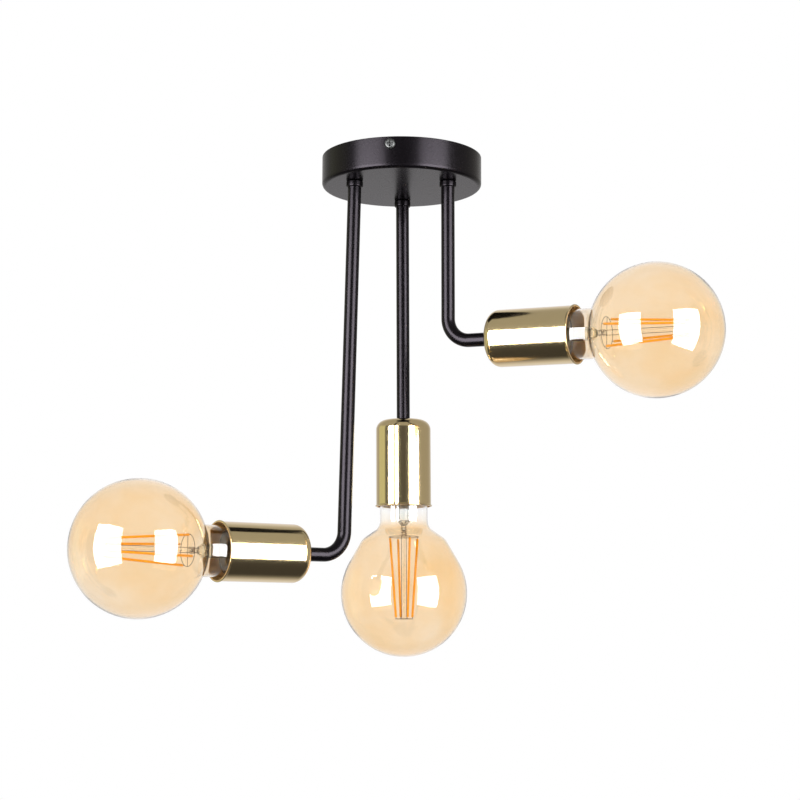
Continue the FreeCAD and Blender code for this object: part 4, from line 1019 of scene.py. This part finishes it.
def wire_paths(side):
    """Open wires of a bulb: spokes, rods with their lead-ins, filament tabs and the binding coil."""
    size = sizes()
    half, pinch = size.rod_spacing / 2, stem_end(side)
    crown, base = wire_heights(side)
    paths = [
        sharp([Vector((-size.near_radius, 0, crown)), Vector((size.near_radius, 0, crown))]),
        sharp([Vector((-size.far_radius, 0, base)), Vector((size.far_radius, 0, base))]),
    ]
    lead_half, pinch_half, bend = 3.4 * MM, 1.0 * MM, 0.5 * MM
    glass_end = reach(f"{side}_bulb_glass", side)[1]
    rod = (
        (lead_half, glass_end), (lead_half, pinch + 6 * MM), (pinch_half, pinch + 1.5 * MM),
        (pinch_half, pinch - 3 * MM), (half, crown), (half, base))
    for sign in (-1, 1):
        paths.append([(Vector((sign * across, 0, height)), bend) for across, height in rod])
    near, far = filament_ends(side)
    for index in range(size.filament_count):
        turn = Matrix.Rotation(size.filament_turn + math.tau * index / size.filament_count, 3, "Z")
        paths.append(sharp([turn @ near, turn @ Vector((size.near_radius, 0, crown))]))
        paths.append(sharp([turn @ far, turn @ Vector((size.far_radius, 0, base))]))
    coil, turns, steps, drop = 2.3 * MM, 3, 14, 4.5 * MM
    angles = [math.tau * step / steps for step in range(turns * steps)]
    paths.append(sharp([Vector((
        coil * math.cos(angle), coil * math.sin(angle), pinch - bend - drop * angle / angles[-1]))
        for angle in angles]))
    return paths


def make_wires(side):
    """Nickel wires that carry a bulb's filaments, as one mesh."""
    size = sizes()
    rings = [sharp(ring_path(radius, height, steps=48))
             for radius, height in zip((size.near_radius, size.far_radius), wire_heights(side))]
    build = bmesh.new()
    for skeleton in (edge_mesh("rings", rings, closes=True), edge_mesh("wires", wire_paths(side))):
        build.from_mesh(grown(skeleton, bar_tree(), {
            "Bar Radius": size.wire_radius, "Bend Steps": 2,
            "Around": 10, "Filled": True, "Finish": finish("nickel_wire")}))
    piece(f"{side}_support_wires", smoothed(plain_mesh("wires", build)), f"{side}_bulb", "nickel_wire",
          [f"{side}_bulb_wires"], bulb_frame(side))


# ---------------------------------------------------------------- the pieces that stay as built

def dress_nodes():
    """Give every construction node that stays in view the finish of its slot."""
    for node in frame["nodes"].values():
        slot = node.data.materials[0].name.split(".")[0]
        for holder in node.material_slots:
            holder.link = "OBJECT"
            holder.material = finish(slot)


# ---------------------------------------------------------------- stage

# What surrounds the lamp in reflections: colours by degrees from the camera's side, positive to its
# right, and then the colours of the ceiling and the ground. Each of these two has the height of
# direction at which it starts and the one past which it is whole.
STUDIO_WALLS = (
    (-180, "#F6F3F5"), (-150, "#D2D0CB"), (-128, "#BCB9B0"), (-121, "#E4E5C0"), (-86, "#E4E5C0"),
    (-82, "#605F5C"), (-30, "#5C5A56"), (25, "#5C5A56"), (66, "#605F5C"), (70, "#B9B5AC"),
    (131, "#B9B5AC"), (150, "#D2D0CB"), (180, "#F6F3F5"),
)
STUDIO_ENDS = (("#B9B7B0", 0.3, 0.48), ("#4C4A48", -0.3, -0.48))
# The ceiling and the ground fade out between these depths of direction, towards the far side.
STUDIO_FAR, STUDIO_NEAR = -0.87, -0.3


def softbox_place(azimuth):
    """Place of a softbox that faces the lamp, at an azimuth from the camera, its right positive."""
    low, high = CAD_BOX
    angle = azimuth + studio().heading
    away = Vector((math.sin(angle), -math.cos(angle), 0))
    middle = Vector(((low.x + high.x) / 2, (low.y + high.y) / 2, -studio().softbox_drop))
    turn = (-away).to_track_quat("-Z", "Y").to_matrix().to_4x4()
    return Matrix.Translation(middle + away * studio().softbox_distance) @ turn


def add_card(name, place):
    """Glowing card that is seen in reflections only, as a softbox is in polished metal."""
    across, tall = studio().softbox_width / 2, studio().softbox_tall / 2
    mesh = bpy.data.meshes.new(name)
    mesh.from_pydata(
        [(-across, -tall, 0), (across, -tall, 0), (across, tall, 0), (-across, tall, 0)],
        [], [(0, 1, 2, 3)])
    mesh.transform(place)
    material, tree = new_material(name)
    glow = add_node(tree, "ShaderNodeEmission", {"Strength": studio().card_level})
    add_node(tree, "ShaderNodeOutputMaterial", {"Surface": glow.outputs["Emission"]})
    mesh.materials.append(material)
    card = linked_object(name, mesh)
    card.visible_camera = False
    card.visible_diffuse = False
    card.visible_transmission = False
    card.visible_shadow = False


def add_light(name, place):
    """Area light of a softbox, which lights surfaces and isn't seen itself."""
    data = bpy.data.lights.new(name, "AREA")
    data.shape = "RECTANGLE"
    data.size, data.size_y = studio().softbox_width, studio().softbox_tall
    data.energy = studio().light_level * math.pi * data.size * data.size_y
    light = linked_object(name, data)
    light.matrix_world = place
    light.visible_camera = False
    light.visible_glossy = False


def studio_reflection(tree):
    """Colour of the studio in reflections: walls by direction, a pale ceiling and a dim ground."""
    place = add_node(tree, "ShaderNodeTexCoord")
    turned_back = add_node(tree, "ShaderNodeVectorRotate", {
        "Vector": place.outputs["Generated"], "Angle": -studio().heading}, rotation_type="Z_AXIS")
    parts = add_node(tree, "ShaderNodeSeparateXYZ", {"Vector": turned_back.outputs["Vector"]})
    before = add_node(tree, "ShaderNodeMath", {0: parts.outputs["Y"], 1: -1.0}, operation="MULTIPLY")
    azimuth = add_node(tree, "ShaderNodeMath", {
        0: parts.outputs["X"], 1: before.outputs["Value"]}, operation="ARCTAN2")
    share = add_node(tree, "ShaderNodeMapRange", {
        "Value": azimuth.outputs["Value"], "From Min": -math.pi, "From Max": math.pi})
    walls = add_node(tree, "ShaderNodeValToRGB", {"Fac": share.outputs["Result"]})
    stops = walls.color_ramp.elements
    while len(stops) < len(STUDIO_WALLS):
        stops.new(1.0)
    for stop, (degrees, code) in zip(stops, STUDIO_WALLS):
        stop.position = (degrees + 180) / 360
        stop.color = (*linear(code), 1)
    shown = walls.outputs["Color"]
    ahead = add_node(tree, "ShaderNodeMapRange", {
        "Value": before.outputs["Value"], "From Min": STUDIO_FAR, "From Max": STUDIO_NEAR},
        interpolation_type="SMOOTHSTEP")
    for code, first, last in STUDIO_ENDS:
        amount = add_node(tree, "ShaderNodeMapRange", {
            "Value": parts.outputs["Z"], "From Min": first, "From Max": last},
            interpolation_type="SMOOTHSTEP")
        there = add_node(tree, "ShaderNodeMath", {
            0: amount.outputs["Result"], 1: ahead.outputs["Result"]}, operation="MULTIPLY")
        mixed = add_node(tree, "ShaderNodeMix", {
            "Factor": there.outputs["Value"], FIRST_COLOUR: shown,
            SECOND_COLOUR: (*linear(code), 1)}, data_type="RGBA")
        shown = mixed.outputs[MIXED_COLOUR]
    return shown


def camera_share(tree):
    """1 where the camera looks, directly or through glass, and 0 for light and reflections."""
    rays = add_node(tree, "ShaderNodeLightPath")
    either = add_node(tree, "ShaderNodeMath", {
        0: rays.outputs["Is Camera Ray"], 1: rays.outputs["Is Transmission Ray"]}, operation="MAXIMUM")
    return either.outputs["Value"]


def make_world():
    """White for the camera and through glass, a plain level on surfaces, and a studio in reflections."""
    world = bpy.data.worlds.new("studio")
    world.use_nodes = True
    bpy.context.scene.world = world
    tree = world.node_tree
    tree.nodes.clear()
    fill = studio().fill_level
    rays = add_node(tree, "ShaderNodeLightPath")
    surface = add_node(tree, "ShaderNodeMix", {
        "Factor": rays.outputs["Is Glossy Ray"], FIRST_COLOUR: (fill, fill, fill, 1),
        SECOND_COLOUR: studio_reflection(tree)}, data_type="RGBA")
    level = add_node(tree, "ShaderNodeMix", {
        "Factor": camera_share(tree), FIRST_COLOUR: surface.outputs[MIXED_COLOUR],
        SECOND_COLOUR: (1, 1, 1, 1)}, data_type="RGBA")
    back = add_node(tree, "ShaderNodeBackground", {
        "Color": level.outputs[MIXED_COLOUR], "Strength": 1.0})
    add_node(tree, "ShaderNodeOutputWorld", {"Surface": back.outputs["Background"]})


def floor_paint(radius):
    """Pale matt paint that turns to plain white for the camera towards the floor's edge."""
    material, tree = new_material("pale_floor")
    place = add_node(tree, "ShaderNodeTexCoord")
    parts = add_node(tree, "ShaderNodeSeparateXYZ", {"Vector": place.outputs["Object"]})
    flat = add_node(tree, "ShaderNodeCombineXYZ", {"X": parts.outputs["X"], "Y": parts.outputs["Y"]})
    away = add_node(tree, "ShaderNodeVectorMath", {0: flat.outputs["Vector"]}, operation="LENGTH")
    fade_start, fade_end = 0.25 * radius, 0.9 * radius
    edge = add_node(tree, "ShaderNodeMapRange", {
        "Value": away.outputs["Value"], "From Min": fade_start, "From Max": fade_end},
        interpolation_type="SMOOTHSTEP")
    share = add_node(tree, "ShaderNodeMath", {
        0: edge.outputs["Result"], 1: camera_share(tree)}, operation="MULTIPLY")
    paint = add_node(tree, "ShaderNodeBsdfDiffuse", {"Color": (*linear("#F4F4F2"), 1)})
    white = add_node(tree, "ShaderNodeEmission", {"Color": (1, 1, 1, 1), "Strength": 1.0})
    mixed = add_node(tree, "ShaderNodeMixShader", {
        0: share.outputs["Value"], 1: paint.outputs["BSDF"], 2: white.outputs["Emission"]})
    add_node(tree, "ShaderNodeOutputMaterial", {"Surface": mixed.outputs["Shader"]})
    return material


def make_floor():
    """Pale floor that keeps the lamp's shadow in its middle and runs out into white."""
    radius = studio().floor_radius
    build = bmesh.new()
    bmesh.ops.create_circle(build, cap_ends=True, segments=96, radius=radius,
                            matrix=Matrix.Translation((0, 0, -studio().floor_drop)))
    floor = linked_object("floor", plain_mesh("floor", build))
    floor.data.materials.append(floor_paint(radius))
    floor.visible_glossy = False


def make_camera():
    """The photograph's camera."""
    data = bpy.data.cameras.new("camera")
    data.lens = studio().lens
    camera = linked_object("camera", data)
    turn = Matrix.Rotation(studio().heading, 4, "Z")
    tilt = Matrix.Rotation(math.pi / 2 + studio().pitch, 4, "X")
    roll = Matrix.Rotation(studio().roll, 4, "Z")
    camera.matrix_world = Matrix.Translation(studio().place) @ turn @ tilt @ roll
    bpy.context.scene.camera = camera


def make_stage():
    """Camera, surroundings, floor, and a softbox on each side of the camera."""
    bpy.context.scene.view_settings.view_transform = "Standard"
    make_camera()
    make_world()
    make_floor()
    for name, side in (("left", -1), ("right", 1)):
        place = softbox_place(side * studio().softbox_azimuth)
        add_light(f"{name}_light", place)
        add_card(f"{name}_card", place)


# ---------------------------------------------------------------- operators

class BuildCanopy(bpy.types.Operator):
    """Make the canopy's shell and its side screws"""

    bl_idname = "ceiling_light.canopy"
    bl_label = "Canopy"

    def execute(self, context):
        make_cover()
        make_screws()
        return {"FINISHED"}


class BuildArms(bpy.types.Operator):
    """Make the three tubes and their collars"""

    bl_idname = "ceiling_light.arms"
    bl_label = "Arms"

    def execute(self, context):
        for side in SIDES:
            make_collar(side)
            make_tube(side)
        return {"FINISHED"}


class BuildCups(bpy.types.Operator):
    """Make the three brass cups"""

    bl_idname = "ceiling_light.cups"
    bl_label = "Cups"

    def execute(self, context):
        for side in SIDES:
            make_cup(side)
        return {"FINISHED"}


class BuildBulbs(bpy.types.Operator):
    """Make the glass, stem, filaments and wires of the three bulbs"""

    bl_idname = "ceiling_light.bulbs"
    bl_label = "Bulbs"

    def execute(self, context):
        for side in SIDES:
            make_glass(side)
            make_stem(side)
            make_filaments(side)
            make_wires(side)
        return {"FINISHED"}


class DressInside(bpy.types.Operator):
    """Give the construction pieces that stay in view their finishes"""

    bl_idname = "ceiling_light.inside"
    bl_label = "Inside"

    def execute(self, context):
        dress_nodes()
        return {"FINISHED"}


class BuildStage(bpy.types.Operator):
    """Make the floor, the studio light and the camera"""

    bl_idname = "ceiling_light.stage"
    bl_label = "Stage"

    def execute(self, context):
        make_stage()
        return {"FINISHED"}


OPERATORS = (BuildStage, DressInside, BuildCanopy, BuildArms, BuildCups, BuildBulbs)


class CeilingLightPanel(bpy.types.Panel):
    """Lists the steps of the ceiling light"""

    bl_idname = "VIEW3D_PT_ceiling_light"
    bl_label = "Ceiling Light"
    bl_space_type = "VIEW_3D"
    bl_region_type = "UI"
    bl_category = "Ceiling Light"

    def draw(self, context):
        for operator in OPERATORS:
            self.layout.operator(operator.bl_idname)


GROUPS = {
    "ceiling_light_sizes": CeilingLightSizes,
    "ceiling_light_colours": CeilingLightColours,
    "ceiling_light_studio": CeilingLightStudio,
}


def register():
    """Register the groups, the operators and the panel."""
    for group in GROUPS.values():
        bpy.utils.register_class(group)
    for name, group in GROUPS.items():
        setattr(bpy.types.Scene, name, bpy.props.PointerProperty(type=group))
    for operator in OPERATORS:
        bpy.utils.register_class(operator)
    bpy.utils.register_class(CeilingLightPanel)


def unregister():
    """Undo what register does."""
    bpy.utils.unregister_class(CeilingLightPanel)
    for operator in reversed(OPERATORS):
        bpy.utils.unregister_class(operator)
    for name, group in GROUPS.items():
        delattr(bpy.types.Scene, name)
        bpy.utils.unregister_class(group)


def main():
    """Build the whole lamp and its stage."""
    register()
    bpy.ops.ceiling_light.stage()
    bpy.ops.ceiling_light.inside()
    bpy.ops.ceiling_light.canopy()
    bpy.ops.ceiling_light.arms()
    bpy.ops.ceiling_light.cups()
    bpy.ops.ceiling_light.bulbs()


if __name__ == "__main__":
    main()
